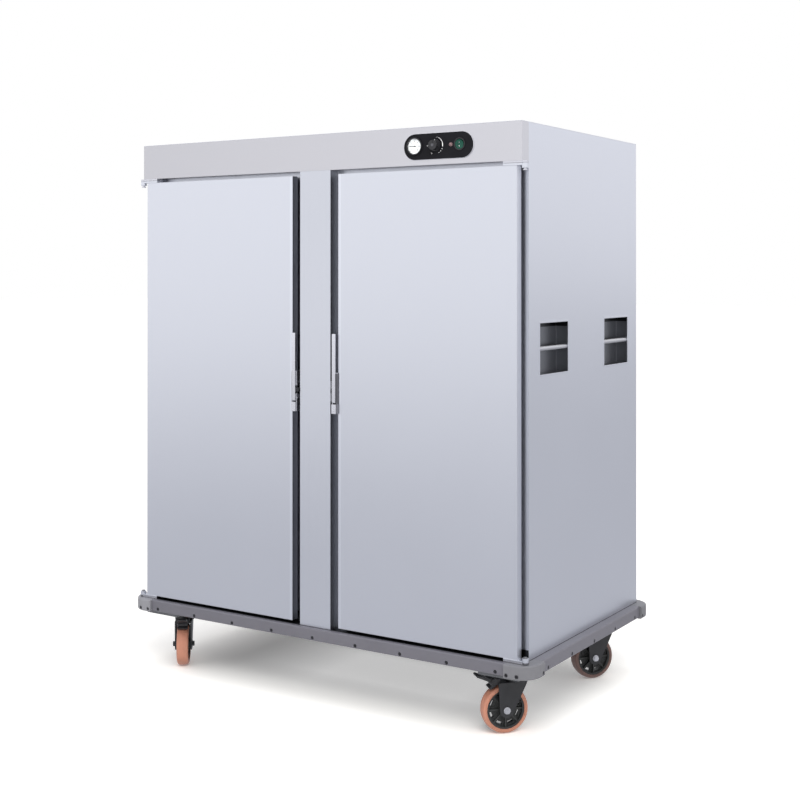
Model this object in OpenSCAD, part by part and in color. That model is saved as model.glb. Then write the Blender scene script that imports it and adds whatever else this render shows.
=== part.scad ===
// Enclosed meal tray cart: a heated, insulated stainless cabinet with two full-height doors,
// on a steel chassis with a wrap-round bumper and four swivel casters.
// Millimetres, +Z up, the doors face -Y. The origin is on the floor, under the middle of the
// whole cart. Inside the modules y = 0 is the face of the doors; in_cart() moves it into place.

/* [Cabinet] */
// Width over the side panels
body_w = 1420; // [1300:10:1600]
// Depth from the door faces to the back panel
body_d = 820; // [740:10:960]
// Height from the floor to the roof
body_h = 1740; // [1500:10:1900]
// Thickness of the outer sheet
shell_t = 1.2; // [0.8:0.1:2]
// Thickness of the compartment sheet
liner_t = 1; // [0.8:0.1:1.6]
// Height of the header above the doors
header_h = 112; // [104:1:140]
// How far the header, doors and centre post stand ahead of the face frame
face_step = 40; // [38:1:48]
// Width of the centre post
post_w = 114.6; // [100:0.2:140]
// Width of the door seat on the face frame, round each doorway
seat_w = 26; // [22:1:34]
// Thickness of the insulated back wall
back_wall = 48; // [46:1:60]
// Thickness of the insulation boards
board_t = 20; // [15:1:22]
// Empty space between the roof and the ceilings of the compartments
roof_space = 150; // [140:1:180]

/* [Chassis and bumper] */
// Height of the rails of the base frame
rail_h = 42; // [38:1:50]
// Width of the rails of the base frame
rail_w = 40; // [30:1:50]
// Thickness of the rails of the base frame
rail_t = 3; // [2:0.5:5]
// Thickness of the plates that carry the casters
pad_t = 8; // [5:1:10]
// Sides of the square plates that carry the casters
pad_w = 130; // [120:1:150]
// How far the chassis is set back from the outline of the cabinet
chassis_inset = 5; // [3:1:8]
// Height of the bumper rails
bumper_h = 37; // [30:1:40]
// How far the bumper stands out ahead of the doors
bumper_front = 15; // [12:1:25]
// How far the bumper stands out at the sides and the back
bumper_side = 30; // [22:1:40]
// How far the corner bumpers stand out past the rails
corner_out = 8; // [4:1:12]
// Radius of the corner bumpers, seen from above
corner_r = 60; // [50:1:75]
// Length of a corner bumper along each side
corner_len = 87; // [80:1:110]
// Rounding of the outer edges of the bumpers
bumper_round = 5; // [2:0.5:8]

/* [Doors] */
// Gap between the centre post and a door
door_gap = 29.5; // [27:0.5:34]
// Distance of a door from the side of the cabinet
door_side = 16.5; // [14:0.5:20]
// Gap under the doors
door_sill = 10; // [9:0.5:14]
// Gap between the doors and the header
door_head = 13; // [12.5:0.5:16]
// Depth of the folded edge of a door
door_t = 26; // [22:1:28]
// How far the inner panel of a door reaches into its doorway
plug_d = 10; // [6:1:14]
// Clearance between the inner panel and the doorway
plug_gap = 8; // [6:1:12]
// Width of the door gasket
gasket_w = 13; // [11:1:14]
// Distance of the gasket from the edge of the door
gasket_in = 12; // [8:1:12]
// Radius of the hinge knuckles
knuckle_r = 9.5; // [8:0.5:11]
// Radius of the hinge pins
pin_r = 4; // [3:0.5:5]
// How far the hinge pin lies outside the cabinet
pin_out = 6; // [5:0.5:8]
// How far the hinge pin lies behind the door faces
pin_in = 6; // [5:0.5:8]
// Length of the hinge leaves
leaf_l = 54; // [40:1:70]
// Depth of the hinge leaves
leaf_w = 24; // [18:1:25]
// Running clearance of pins and shafts, on the radius
run_gap = 0.05; // [0.03:0.01:0.09]

/* [Handles] */
// Height of the foot of a handle above the floor
handle_z = 888.5; // [800:0.5:1000]
// Height of the handle housing
housing_h = 124; // [110:1:140]
// Height of the solid foot of the housing, under the lever
foot_h = 28.5; // [24:0.5:34]
// Gap between the foot and the lever
lever_slot = 3.5; // [3:0.5:5]
// Length of the free lever above the housing
lever_l = 118; // [90:1:130]
// Width of the handle housing
housing_w = 20; // [18:0.5:21]
// How far the lever and the foot stand proud of the door
housing_out = 10; // [8:0.5:12]
// Depth of the housing behind the door face
housing_in = 22; // [18:1:26]
// Wall of the handle housing
housing_t = 2.2; // [1.6:0.1:3]
// Width of the lever
lever_w = 12; // [10:0.5:13]
// Thickness of the lever
lever_t = 5; // [4:0.5:6]

/* [Side grips] */
// Width of a grip recess
grip_w = 186; // [140:1:200]
// Height of a grip recess
grip_h = 147; // [120:1:160]
// Depth of a grip recess
grip_d = 40; // [34:1:42]
// Height of the grip bars above the floor
grip_z = 1098.5; // [950:0.5:1200]
// Distance of the grips from the point midway between them
grip_dy = 225; // [180:1:240]
// Radius of the grip bars
grip_bar_r = 7.5; // [5:0.5:9]

/* [Inside] */
// Number of tray levels in a compartment
levels = 9; // [5:1:12]
// Width of the ledge of a tray runner
runner_w = 20; // [14:1:26]
// Thickness of the tray runners
runner_t = 1.5; // [1:0.1:3]
// Radius of the ring heaters
heater_r = 74; // [66:1:84]
// Radius of the fan wheels
fan_r = 54; // [40:1:60]
// Side of the square covers over the fans and heaters
cover_w = 260; // [240:1:300]
// Depth of the covers over the fans and heaters
cover_d = 56; // [50:1:64]

/* [Control panel] */
// Distance of the panel from the middle of the cart
panel_x = 440; // [380:1:500]
// Length of the black plate
panel_w = 232; // [228:1:250]
// Height of the black plate
panel_h = 75; // [66:1:80]
// Thickness of the black plate
panel_t = 3; // [2:0.5:4]
// Radius of the thermometer
gauge_r = 25.5; // [20:0.5:27]
// Radius of the thermostat knob
knob_r = 17; // [14:0.5:20]
// How far the thermostat knob stands out
knob_h = 18; // [14:1:18]
// Radius of the rim of the switch
switch_r = 18; // [16:0.5:20]

/* [Casters] */
// Diameter of the wheels
wheel_d = 138; // [125:1:152]
// Width of the tyres
tyre_w = 38; // [34:1:42]
// Thickness of the tyres
tyre_t = 13; // [10:0.5:16]
// Height of the swivel head, from the top of the wheel to the mounting face
head_h = 42; // [40:1:50]
// Distance of the swivel axes from the middle of the cart
caster_x = 631; // [600:1:640]
// Distance of the front swivel axes from the door faces
caster_front = 116; // [100:1:130]
// Distance of the rear swivel axes from the back
caster_back = 100; // [95:1:130]
// Distance of an axle from its swivel axis
trail = 38; // [32:1:44]
// Thickness of the fork plates
fork_t = 5; // [4:0.5:6]
// Turn of each caster: front left, front right, rear left, rear right
caster_turn = [307, 227, 235, 232];
// Number of spokes
spokes = 8; // [5:1:10]

/* [Hidden] */
$fn = 48;
eps = 0.01;
cut = 1;
steel = [0.80, 0.81, 0.85];
dark = [0.12, 0.12, 0.13];
half_w = body_w / 2;
origin_y = (body_d + bumper_side - bumper_front) / 2;

// Chassis, from the floor up
caster_h = wheel_d + head_h;
frame_z = caster_h + pad_t;
deck_z = frame_z + rail_h;
floor_z = deck_z + shell_t;
bumper_z = deck_z - bumper_h;
cross_front = caster_front + pad_w / 2;
cross_back = body_d - caster_back - pad_w / 2;
caster_ys = [caster_front, body_d - caster_back];

// Header, post and doors
header_z = body_h - header_h;
door_z0 = deck_z + door_sill;
door_z1 = header_z - door_head;
door_x0 = post_w / 2 + door_gap;
door_x1 = half_w - door_side;
pin_x = half_w + pin_out;

// Doorways and compartments: each doorway is the door less its seat
way_x0 = door_x0 + seat_w;
way_x1 = door_x1 - seat_w;
way_z0 = door_z0 + seat_w;
way_z1 = body_h - roof_space;
way_mid = (way_x0 + way_x1) / 2;
room_y0 = face_step + shell_t;
room_y1 = body_d - back_wall;

// Side grips
grip_mid = (face_step + body_d) / 2 - 3;
grip_y = [grip_mid - grip_dy, grip_mid + grip_dy];
grip_z0 = grip_z - grip_h / 2;
grip_bar_in = grip_bar_r + 2;

// Handles
housing_x0 = door_x0 - housing_w;
housing_z1 = handle_z + housing_h;
lever_play = 0.6;
lever_x0 = housing_x0 + housing_t + lever_play;
lever_y0 = -housing_out;
lever_y1 = lever_y0 + lever_t;
lever_z0 = handle_z + foot_h + lever_slot;
lever_pin = [-1, lever_z0 + 9];
lever_pin_r = 3;
tongue_z = lever_pin[1] + 20;
tongue_h = 12;
tongue_x0 = post_w / 2 + 3;

// Controls on the header
panel_z = header_z + 54;
dial_z = panel_z + 2;
gauge_x = panel_x - 78;
knob_x = panel_x - 8.5;
lamp_x = panel_x + 43;
lamp_r = 4.3;
switch_x = panel_x + 72;
switch_lip = 1.4;
switch_wall = 1.6;
dial_face = panel_t + 2;
lens_t = 1.2;
spindle_r = 3;

// Fan and heater, in the lower back of each compartment
fan_z = way_z0 + 30 + cover_w / 2;
fan_y = room_y1 - 34;
shaft_r = 3;

// Casters, in their own frame: swivel axis on Z, wheel towards +X
wheel_r = wheel_d / 2;
plate_t = 6;
crown_z = wheel_d + 4;
crown_t = 6;
race_r = 31;
race_gap = 0.4;
race_z = caster_h - plate_t - 13;
kingpin_r = 6;
axle_r = 5;
leg_gap = tyre_w / 2 + 4;
cheek_r = 21;
crown_x0 = -22;
crown_x1 = trail + 24;
rim_r = wheel_r - tyre_t;
hub_r = 15;
pedal_x = trail + 34;
pedal_z = crown_z + 9;
pedal_pin_r = 4;
pedal_w = 32;
shoe_gap = 5;

// Points of an arc about c, from angle a0 to a1
function arc(c, r, a0, a1, n = 6) =
  [for (i = [0:n]) let (a = a0 + (a1 - a0) * i / n) [c[0] + r * cos(a), c[1] + r * sin(a)]];

// Moves a piece from the door-face frame into the frame of the cart
module in_cart() { translate([0, -origin_y, 0]) children(); }

// Draws a piece modelled on the right-hand side of the cart (+X) on side s
module on_side(s) { in_cart() mirror([s < 0 ? 1 : 0, 0, 0]) children(); }

// A box from corner a to corner b
module block(a, b) { translate(a) cube(b - a); }

// A cylinder along Y from y0 to y1
module rod_y(x, z, r, y0, y1) { translate([x, y0, z]) rotate([-90, 0, 0]) cylinder(r = r, h = y1 - y0); }

// A cylinder along X from x0 to x1
module rod_x(x0, x1, y, z, r) { translate([x0, y, z]) rotate([0, 90, 0]) cylinder(r = r, h = x1 - x0); }

// A plate in the XZ plane with round ends
module stadium_y(w, h, y0, y1) {
  block([-w / 2 + h / 2, y0, -h / 2], [w / 2 - h / 2, y1, h / 2]);
  for (s = [-1, 1]) rod_y(s * (w - h) / 2, 0, h / 2, y0, y1);
}

// ---------------------------------------------------------------- chassis

// An open channel along X, its web towards +Y
module channel_x(x0, x1, y0) {
  difference() {
    block([x0, y0, frame_z], [x1, y0 + rail_w, deck_z]);
    block([x0 - cut, y0 - cut, frame_z + rail_t], [x1 + cut, y0 + rail_w - rail_t, deck_z - rail_t]);
  }
}

module caster_places() {
  for (x = [-caster_x, caster_x], y = caster_ys) translate([x, y, 0]) children();
}

module bolt_places() {
  for (x = [-1, 1], y = [-1, 1]) translate([x * bolt_dx / 2, y * bolt_dy / 2, 0]) children();
}
bolt_dx = 84;
bolt_dy = 76;
bolt_r = 5;

// Ring of channels, two cross rails and a keel, with a drilled plate at each caster
module base_frame() {
  x1 = half_w - chassis_inset;
  y0 = chassis_inset;
  y1 = body_d - chassis_inset;
  color("dimgray") in_cart() difference() {
    union() {
      difference() {
        block([-x1, y0, frame_z], [x1, y1, deck_z]);
        block([-x1 + rail_w, y0 + rail_w, frame_z - cut], [x1 - rail_w, y1 - rail_w, deck_z + cut]);
        block([-x1 + rail_t, y0 + rail_t, frame_z + rail_t], [x1 - rail_t, y1 - rail_t, deck_z - rail_t]);
      }
      channel_x(-x1 + rail_t, x1 - rail_t, cross_front - rail_w);
      translate([0, cross_back + rail_w, 0]) mirror([0, 1, 0]) channel_x(-x1 + rail_t, x1 - rail_t, 0);
      block([-rail_w / 2, cross_front, frame_z], [rail_w / 2, cross_back, deck_z]);
      caster_pads();
    }
    block([-rail_w / 2 + rail_t, cross_front - cut, frame_z - cut],
          [rail_w / 2 - rail_t, cross_back + cut, deck_z - rail_t]);
    caster_places() bolt_places() {
      translate([0, 0, caster_h - cut]) cylinder(r = bolt_r + 0.3, h = pad_t + 2 * cut);
      translate([0, 0, frame_z]) cylinder(r = bolt_r * 2.2, h = rail_t + cut);
    }
  }
}

// Plates under the corners of the chassis, from the outer rails in to the cross rails
module caster_pads() {
  for (s = [-1, 1]) let (x0 = s * caster_x - pad_w / 2) {
    block([x0, chassis_inset, caster_h], [x0 + pad_w, cross_front, frame_z + eps]);
    block([x0, cross_back, caster_h], [x0 + pad_w, body_d - chassis_inset, frame_z + eps]);
  }
}

// Sheet floor of the cabinet, on the base frame
module floor_pan() {
  color(steel) in_cart() block([-half_w, 0, deck_z], [half_w, body_d, floor_z]);
}

// Half section of a bumper: u outwards from the chassis, z up, with rounded outer edges
function bumper_section(u1, h) = concat(
  [[0, 0]],
  arc([u1 - bumper_round, bumper_round], bumper_round, -90, 0),
  arc([u1 - bumper_round, h - bumper_round], bumper_round, 0, 90),
  [[0, h]]);

// A straight bumper along +X from x0 to x1, its chassis side on y = 0 and its face at y = -u
module bumper_bar(x0, x1, u, h) {
  translate([x0, 0, 0]) rotate([90, 0, 90]) linear_extrude(x1 - x0)
    mirror([1, 0, 0]) polygon(bumper_section(u, h));
}

rail_gap = 0.5;
corner_drop = 3;
seam_x = half_w + bumper_side + corner_out - corner_len;
seam_front = corner_len - bumper_front - corner_out;
seam_back = body_d + bumper_side + corner_out - corner_len;

// Counterbores for the bumper screws: height over the lower edge, size and places
bore_z = 9;
bore_r = 5.5;
bore_d = 3.5;
bore_pitch = 158;
pad_bores = [9, 41];

module bumper_rails() {
  u_side = bumper_side + chassis_inset;
  side_mid = (seam_front + seam_back) / 2;
  color("gray") in_cart() translate([0, 0, bumper_z]) difference() {
    union() {
      translate([0, chassis_inset, 0])
        bumper_bar(-seam_x + rail_gap, seam_x - rail_gap, bumper_front + chassis_inset, bumper_h);
      translate([0, body_d - chassis_inset, 0]) mirror([0, 1, 0])
        bumper_bar(-seam_x + rail_gap, seam_x - rail_gap, u_side, bumper_h);
      for (s = [-1, 1]) mirror([s < 0 ? 1 : 0, 0, 0])
        translate([half_w - chassis_inset, 0, 0]) rotate([0, 0, 90])
          bumper_bar(seam_front + rail_gap, seam_back - rail_gap, u_side, bumper_h);
    }
    for (i = [-4:4]) {
      rod_y(i * bore_pitch, bore_z, bore_r, -bumper_front - cut, -bumper_front + bore_d);
      rod_y(i * bore_pitch, bore_z, bore_r, body_d + bumper_side - bore_d, body_d + bumper_side + cut);
    }
    for (s = [-1, 1], i = [-2:2]) mirror([s < 0 ? 1 : 0, 0, 0])
      rod_x(half_w + bumper_side - bore_d, half_w + bumper_side + cut, side_mid + i * bore_pitch, bore_z, bore_r);
  }
}

// A corner bumper for the front right: a rounded pad that laps the chassis on two sides
module corner_pad(front) {
  h = bumper_h + corner_drop;
  y_face = -front - corner_out;
  x_face = half_w + bumper_side + corner_out;
  c = [x_face - corner_r, y_face + corner_r];
  x_chassis = half_w - chassis_inset;
  difference() {
    union() {
      translate([c[0], c[1], 0]) rotate_extrude() polygon(bumper_section(corner_r, h));
      translate([0, c[1], 0]) bumper_bar(x_face - corner_len, c[0], corner_r, h);
      translate([c[0], 0, 0]) rotate([0, 0, 90]) bumper_bar(c[1], y_face + corner_len, corner_r, h);
    }
    block([x_face - 3 * corner_r, chassis_inset, -cut], [x_chassis, y_face + 3 * corner_r, h + cut]);
    block([x_face - 3 * corner_r, y_face - cut, -cut], [x_face - corner_len, y_face + 3 * corner_r, h + cut]);
    block([x_chassis - cut, y_face + corner_len, -cut], [x_face + cut, y_face + 3 * corner_r, h + cut]);
    for (d = pad_bores)
      rod_y(x_face - corner_len + d, bore_z + 1, bore_r, y_face - cut, y_face + bore_d + 1);
    rod_x(x_face - bore_d, x_face + cut, y_face + corner_len - pad_bores[0], bore_z + 1, bore_r);
  }
}

module bumper_corners() {
  color("dimgray") in_cart() translate([0, 0, bumper_z - corner_drop]) for (s = [0, 1]) mirror([s, 0, 0]) {
    corner_pad(bumper_front);
    translate([0, body_d, 0]) mirror([0, 1, 0]) corner_pad(bumper_side);
  }
}

// ---------------------------------------------------------------- cabinet shell

// Side panel with two pressed grip recesses, a raised bead round each, and a front return
module side_panel(s) {
  x_in = half_w - shell_t;
  roof = body_h - shell_t;
  bead = 5;
  color(steel) on_side(s) difference() {
    union() {
      block([x_in, face_step, floor_z], [half_w, body_d, roof]);
      for (y = grip_y) {
        block([half_w - grip_d, y - grip_w / 2 - shell_t, grip_z0 - shell_t],
              [half_w, y + grip_w / 2 + shell_t, grip_z0 + grip_h + shell_t]);
        block([x_in, y - grip_w / 2 - bead, grip_z0 - bead],
              [half_w + 0.8, y + grip_w / 2 + bead, grip_z0 + grip_h + bead]);
      }
    }
    for (y = grip_y)
      block([half_w - grip_d + shell_t, y - grip_w / 2, grip_z0],
            [half_w + cut, y + grip_w / 2, grip_z0 + grip_h]);
  }
}

module grip_bars() {
  color("silver") for (s = [-1, 1]) on_side(s) for (y = grip_y)
    rod_y(half_w - grip_bar_in, grip_z, grip_bar_r, y - grip_w / 2, y + grip_w / 2);
}

inlet_x = 0;
inlet_z = floor_z + 98.8;
inlet_w = 50;
inlet_h = 28;
vents = 8;
vent_w = 140;
vent_h = 4;
vent_pitch = 9;

module back_panel() {
  x1 = half_w - shell_t;
  color(steel) in_cart() difference() {
    block([-x1, body_d - shell_t, floor_z], [x1, body_d, body_h - shell_t]);
    block([inlet_x - inlet_w / 2, body_d - 10, inlet_z - inlet_h / 2],
          [inlet_x + inlet_w / 2, body_d + cut, inlet_z + inlet_h / 2]);
    for (s = [-1, 1], i = [0:vents - 1])
      translate([s * way_mid, body_d, way_z1 + 60 + i * vent_pitch])
        block([-vent_w / 2, -10, 0], [vent_w / 2, cut, vent_h]);
  }
}

module top_panel() {
  color(steel) in_cart() block([-half_w, 0, body_h - shell_t], [half_w, body_d, body_h]);
}

// Control header: front, floor and ends in one folded sheet, open at the back
module header_box() {
  x_in = half_w - shell_t;
  color([0.86, 0.86, 0.89]) in_cart() difference() {
    block([-half_w, 0, header_z], [half_w, face_step, body_h - shell_t]);
    block([-x_in, shell_t, header_z + shell_t], [x_in, face_step + cut, body_h]);
    rod_y(knob_x, dial_z, spindle_r + 1, -cut, shell_t + cut);
    panel_holes(-cut, shell_t + cut);
  }
}

// Holes for the thermometer, the lamp and the switch, from y0 to y1
module panel_holes(y0, y1) {
  rod_y(gauge_x, dial_z, gauge_r - 1, y0, y1);
  rod_y(lamp_x, dial_z, lamp_r + 0.2, y0, y1);
  rod_y(switch_x, dial_z, switch_r - switch_lip + 0.2, y0, y1);
}

// Face frame: one sheet with two doorways, and the box of the centre post welded on it
module face_frame() {
  x1 = half_w - shell_t;
  color(steel) in_cart() {
    difference() {
      block([-x1, face_step, floor_z], [x1, face_step + shell_t, header_z + shell_t]);
      for (s = [-1, 1]) mirror([s < 0 ? 1 : 0, 0, 0])
        block([way_x0, face_step - cut, way_z0], [way_x1, face_step + shell_t + cut, way_z1]);
    }
    difference() {
      block([-post_w / 2, 0, floor_z], [post_w / 2, face_step + eps, header_z]);
      block([-post_w / 2 + shell_t, shell_t, floor_z - cut], [post_w / 2 - shell_t, face_step, header_z - shell_t]);
    }
  }
}

// The space of the right-hand compartment, grown outwards by g
module room(g, y_front = room_y0) {
  block([way_x0 - g, y_front, way_z0 - g], [way_x1 + g, room_y1 + g, way_z1 + g]);
}

motor_r = 32;
motor_l = 38;
boss_r = 9;
heater_hole_r = 5;
heater_dx = 22;
heater_up = 6;

// A compartment of thin sheet, with holes for the boss of the motor and the heater ends
module compartment_liners() {
  color([0.74, 0.75, 0.78]) for (s = [-1, 1]) on_side(s) difference() {
    room(liner_t);
    room(0, room_y0 - cut);
    rod_y(way_mid, fan_z, boss_r + 1, room_y1 - cut, room_y1 + liner_t + cut);
    for (d = [-1, 1])
      rod_y(way_mid + d * heater_dx, fan_z - heater_r + heater_up, heater_hole_r,
            room_y1 - cut, room_y1 + liner_t + cut);
  }
}

// Insulation boards round each compartment, let out for the grips, motors and heater ends
module wall_insulation() {
  color("khaki") for (s = [-1, 1]) on_side(s) difference() {
    room(liner_t + board_t);
    room(liner_t, room_y0 - cut);
    for (y = grip_y)
      block([half_w - grip_d, y - grip_w / 2 - shell_t, grip_z0 - shell_t],
            [half_w, y + grip_w / 2 + shell_t, grip_z0 + grip_h + shell_t]);
    rod_y(way_mid, fan_z, motor_r + 4, room_y1, body_d);
    block([way_mid - 36, room_y1, fan_z - heater_r - 12], [way_mid + 36, body_d, fan_z]);
  }
}

// ---------------------------------------------------------------- inside the compartments

// A tray runner on each wall: a ledge with its leg turned down against the wall
module tray_runners() {
  pitch = (way_z1 - way_z0 - 60) / levels;
  y0 = room_y0 + 25;
  y1 = room_y1 - cover_d - 10;
  drop = 14;
  color([0.7, 0.71, 0.74]) for (s = [-1, 1]) on_side(s) for (i = [1:levels], m = [0, 1])
    translate([m ? way_x1 + way_x0 : 0, 0, way_z0 + i * pitch]) mirror([m, 0, 0]) {
      block([way_x0, y0, -runner_t], [way_x0 + runner_w, y1, 0]);
      block([way_x0, y0, -drop], [way_x0 + runner_t, y1, -runner_t + eps]);
    }
}

// A ring heater round each fan, its two ends led out through the back wall
module heater_elements() {
  tube_r = heater_hole_r - 1;
  y0 = fan_y + 6;
  color("darkgray") for (s = [-1, 1]) on_side(s) {
    translate([way_mid, y0, fan_z]) rotate([90, 0, 0])
      rotate_extrude() translate([heater_r, 0]) circle(r = tube_r, $fn = 24);
    for (d = [-1, 1])
      rod_y(way_mid + d * heater_dx, fan_z - heater_r + heater_up, tube_r, y0, room_y1 + liner_t + 5);
  }
}

module fan_motors() {
  color("dimgray") for (s = [-1, 1]) on_side(s) difference() {
    union() {
      rod_y(way_mid, fan_z, motor_r, room_y1 + liner_t, room_y1 + liner_t + motor_l);
      rod_y(way_mid, fan_z, boss_r, room_y1 - 4, room_y1 + liner_t + eps);
    }
    rod_y(way_mid, fan_z, shaft_r + run_gap, room_y1 - 4 - cut, room_y1 + 24);
  }
}

// A paddle fan wheel: back disc, hub, shaft and a ring of curved blades
module fan_rotor(s) {
  blades = 10;
  hub = 11;
  disc_z = 24;
  color("silver") on_side(s) translate([way_mid, fan_y, fan_z]) rotate([-90, 0, 0]) {
    cylinder(r = hub, h = disc_z + 2);
    translate([0, 0, disc_z]) cylinder(r = fan_r, h = 1.5);
    cylinder(r = shaft_r, h = room_y1 + 20 - fan_y);
    for (i = [0:blades - 1]) rotate(i * 360 / blades) translate([0, 0, 4]) linear_extrude(disc_z - 4 + eps)
      fan_blade(hub - 3, fan_r - 8);
  }
}

// A curved blade of sheet between the radii r0 and r1
module fan_blade(r0, r1) {
  c = [(r0 + r1) * 0.6, (r1 - r0) * 0.32];
  bend = r1 - c[1] - 10;
  outer = arc(c, bend, 30, 150, 10);
  inner = arc(c, bend - 1.2, 150, 30, 10);
  intersection() {
    polygon(concat(outer, inner));
    square([r1, fan_r]);
  }
}

// Boxed cover over fan and heater, with a slotted intake and open slots at both sides
module heater_covers() {
  w = cover_w / 2;
  y0 = room_y1 - cover_d;
  slots = 12;
  pitch = 14;
  color([0.72, 0.73, 0.76]) for (s = [-1, 1]) on_side(s) translate([way_mid, 0, fan_z]) difference() {
    block([-w, y0, -w], [w, room_y1, w]);
    block([-w + shell_t, y0 + shell_t, -w + shell_t], [w - shell_t, room_y1 + cut, w - shell_t]);
    for (i = [0:slots - 1]) let (z = (i - (slots - 1) / 2) * pitch, half = sqrt(pow(90, 2) - pow(z, 2)))
      block([-half, y0 - cut, z - 3], [half, y0 + shell_t + cut, z + 3]);
    for (i = [0:9]) block([-w - cut, y0 + 12, -100 + i * 21], [w + cut, room_y1 - 12, -90 + i * 21]);
  }
}

// ---------------------------------------------------------------- control panel

module control_plate() {
  color([0.05, 0.05, 0.06]) in_cart() difference() {
    translate([panel_x, 0, panel_z]) stadium_y(panel_w, panel_h, -panel_t, 0);
    rod_y(knob_x, dial_z, spindle_r + run_gap, -panel_t - cut, cut);
    panel_holes(-panel_t - cut, cut);
  }
}

// Thermometer: a cup through the header with a bezel in front
module gauge_case() {
  color([0.1, 0.1, 0.1]) in_cart() difference() {
    union() {
      rod_y(gauge_x, dial_z, gauge_r - 1.2, -panel_t, 26);
      rod_y(gauge_x, dial_z, gauge_r, -panel_t - 6, -panel_t);
    }
    rod_y(gauge_x, dial_z, gauge_r - 3, -panel_t - 7, -dial_face + 1);
    rod_y(gauge_x, dial_z, 1.5, -dial_face, 4);
  }
}

module gauge_dial() {
  color("white") in_cart() difference() {
    rod_y(gauge_x, dial_z, gauge_r - 3, -dial_face, -dial_face + 1);
    rod_y(gauge_x, dial_z, 1 + run_gap, -dial_face - cut, -dial_face + 2);
  }
}

module gauge_lens() {
  color([0.9, 0.95, 1, 0.4]) in_cart()
    rod_y(gauge_x, dial_z, gauge_r - 3, -dial_face - 1.4 - lens_t, -dial_face - 1.4);
}

// Needle with a short tail, on a pin through the dial; at rest it points to the left
module gauge_pointer() {
  y = -dial_face - 0.9;
  color("black") in_cart() translate([gauge_x, 0, dial_z]) {
    rod_y(0, 0, 1.8, y, y + 0.6);
    rod_y(0, 0, 1, y + 0.5, 1);
    rotate([0, -90, 0]) translate([0, y + 0.1, 0]) rotate([-90, 0, 0]) linear_extrude(0.4)
      polygon([[-0.9, 5], [0.9, 5], [0.35, -gauge_r + 6.5], [-0.35, -gauge_r + 6.5]]);
  }
}

// Fluted knob with a pointer rib and its spindle
module thermostat_knob() {
  y0 = -panel_t - 0.6;
  y1 = y0 - knob_h;
  color([0.07, 0.07, 0.08]) in_cart() translate([knob_x, 0, dial_z]) {
    rod_y(0, 0, spindle_r, y0 - 1, 9);
    rod_y(0, 0, knob_r, y0 - 4, y0);
    difference() {
      rod_y(0, 0, knob_r - 2.5, y1, y0 - 2);
      for (a = [0:30:330]) rotate([0, a + 15, 0]) rod_y(0, knob_r - 1.4, 2, y1 - cut, y0 - 4.6);
    }
    block([-1.2, y1 - 1, 2], [1.2, y1 + 1, knob_r - 3.5]);
  }
}

module pilot_lamp() {
  color([0.5, 0.05, 0.04]) in_cart() translate([lamp_x, 0, dial_z]) {
    rod_y(0, 0, lamp_r, -panel_t - eps, 16);
    rod_y(0, 0, lamp_r + 1.2, -panel_t - 2, -panel_t);
    translate([0, -panel_t - 2, 0]) intersection() {
      sphere(r = lamp_r - 0.1);
      block([-lamp_r, -lamp_r, -lamp_r], [lamp_r, eps, lamp_r]);
    }
  }
}

switch_window_r = switch_r - switch_lip - switch_wall;
rocker_tilt = 8;
rocker_y = 1;
trunnion_r = 1.6;

// Round switch body with a rim, a round window and bores for the trunnions of the rocker
module switch_housing() {
  color([0.08, 0.08, 0.09]) in_cart() translate([switch_x, 0, dial_z]) difference() {
    union() {
      rod_y(0, 0, switch_r, -panel_t - 2.5, -panel_t);
      rod_y(0, 0, switch_r - switch_lip, -panel_t - eps, 24);
    }
    rod_y(0, 0, switch_window_r, -panel_t - 4, 14);
    rod_x(-switch_r, switch_r, rocker_y, 0, trunnion_r + run_gap);
  }
}

// Round rocker: a shallow V face on a wedge body with two trunnions, tipped to its first
// position at rest
module switch_rocker() {
  r = switch_window_r - 1.6;
  reach = switch_window_r + switch_wall - 0.4;
  color([0.05, 0.5, 0.3]) in_cart() translate([switch_x, rocker_y, dial_z]) rotate([rocker_tilt, 0, 0]) {
    intersection() {
      rotate([90, 0, 90]) translate([0, 0, -r]) linear_extrude(2 * r)
        polygon([[-6.6, 0], [-7.6, r], [-2, r], [4, 3], [4, -3], [-2, -r], [-7.6, -r]]);
      rod_y(0, 0, r, -10, 6);
    }
    rod_x(-reach, reach, 0, 0, trunnion_r);
  }
}

// ---------------------------------------------------------------- mains inlet

// Flanged socket body with three flat contacts, on the back panel
module power_inlet() {
  w = inlet_w / 2;
  h = inlet_h / 2;
  color([0.08, 0.08, 0.09]) in_cart() translate([inlet_x, body_d, inlet_z]) {
    difference() {
      union() {
        block([-w - 9, 0, -h - 4], [w + 9, 3, h + 4]);
        block([-w + 0.3, -36, -h + 0.3], [w - 0.3, eps, h - 0.3]);
      }
      block([-w + 6, -20, -h + 4], [w - 6, 4, h - 4]);
      for (s = [-1, 1]) rod_y(s * (w + 4.5), 0, 2, -cut, 4);
    }
    for (x = [-10, 0, 10]) block([x - 1, -21, -3], [x + 1, -5, 3]);
  }
}

// ---------------------------------------------------------------- hinges and strikes

leaf_t = 5.5;
leaf_gap = 0.8;
leaf_proud = 1;
knuckle_drop = 8;
bottom_leaf_t = 4;

// A leaf that ends in a round eye on the hinge pin, from x0 to the pin; it stands hardly proud of
// the door, so that a door folded right back clears the side of the cabinet
module leaf(z0, z1, x0, y1) {
  block([x0, -leaf_proud, z0], [pin_x - pin_in, y1, z1]);
  translate([pin_x, pin_in, z0]) cylinder(r = knuckle_r, h = z1 - z0);
  block([pin_x - knuckle_r - 2, -leaf_proud, z0], [pin_x, pin_in + 2, z1]);
}

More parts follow.
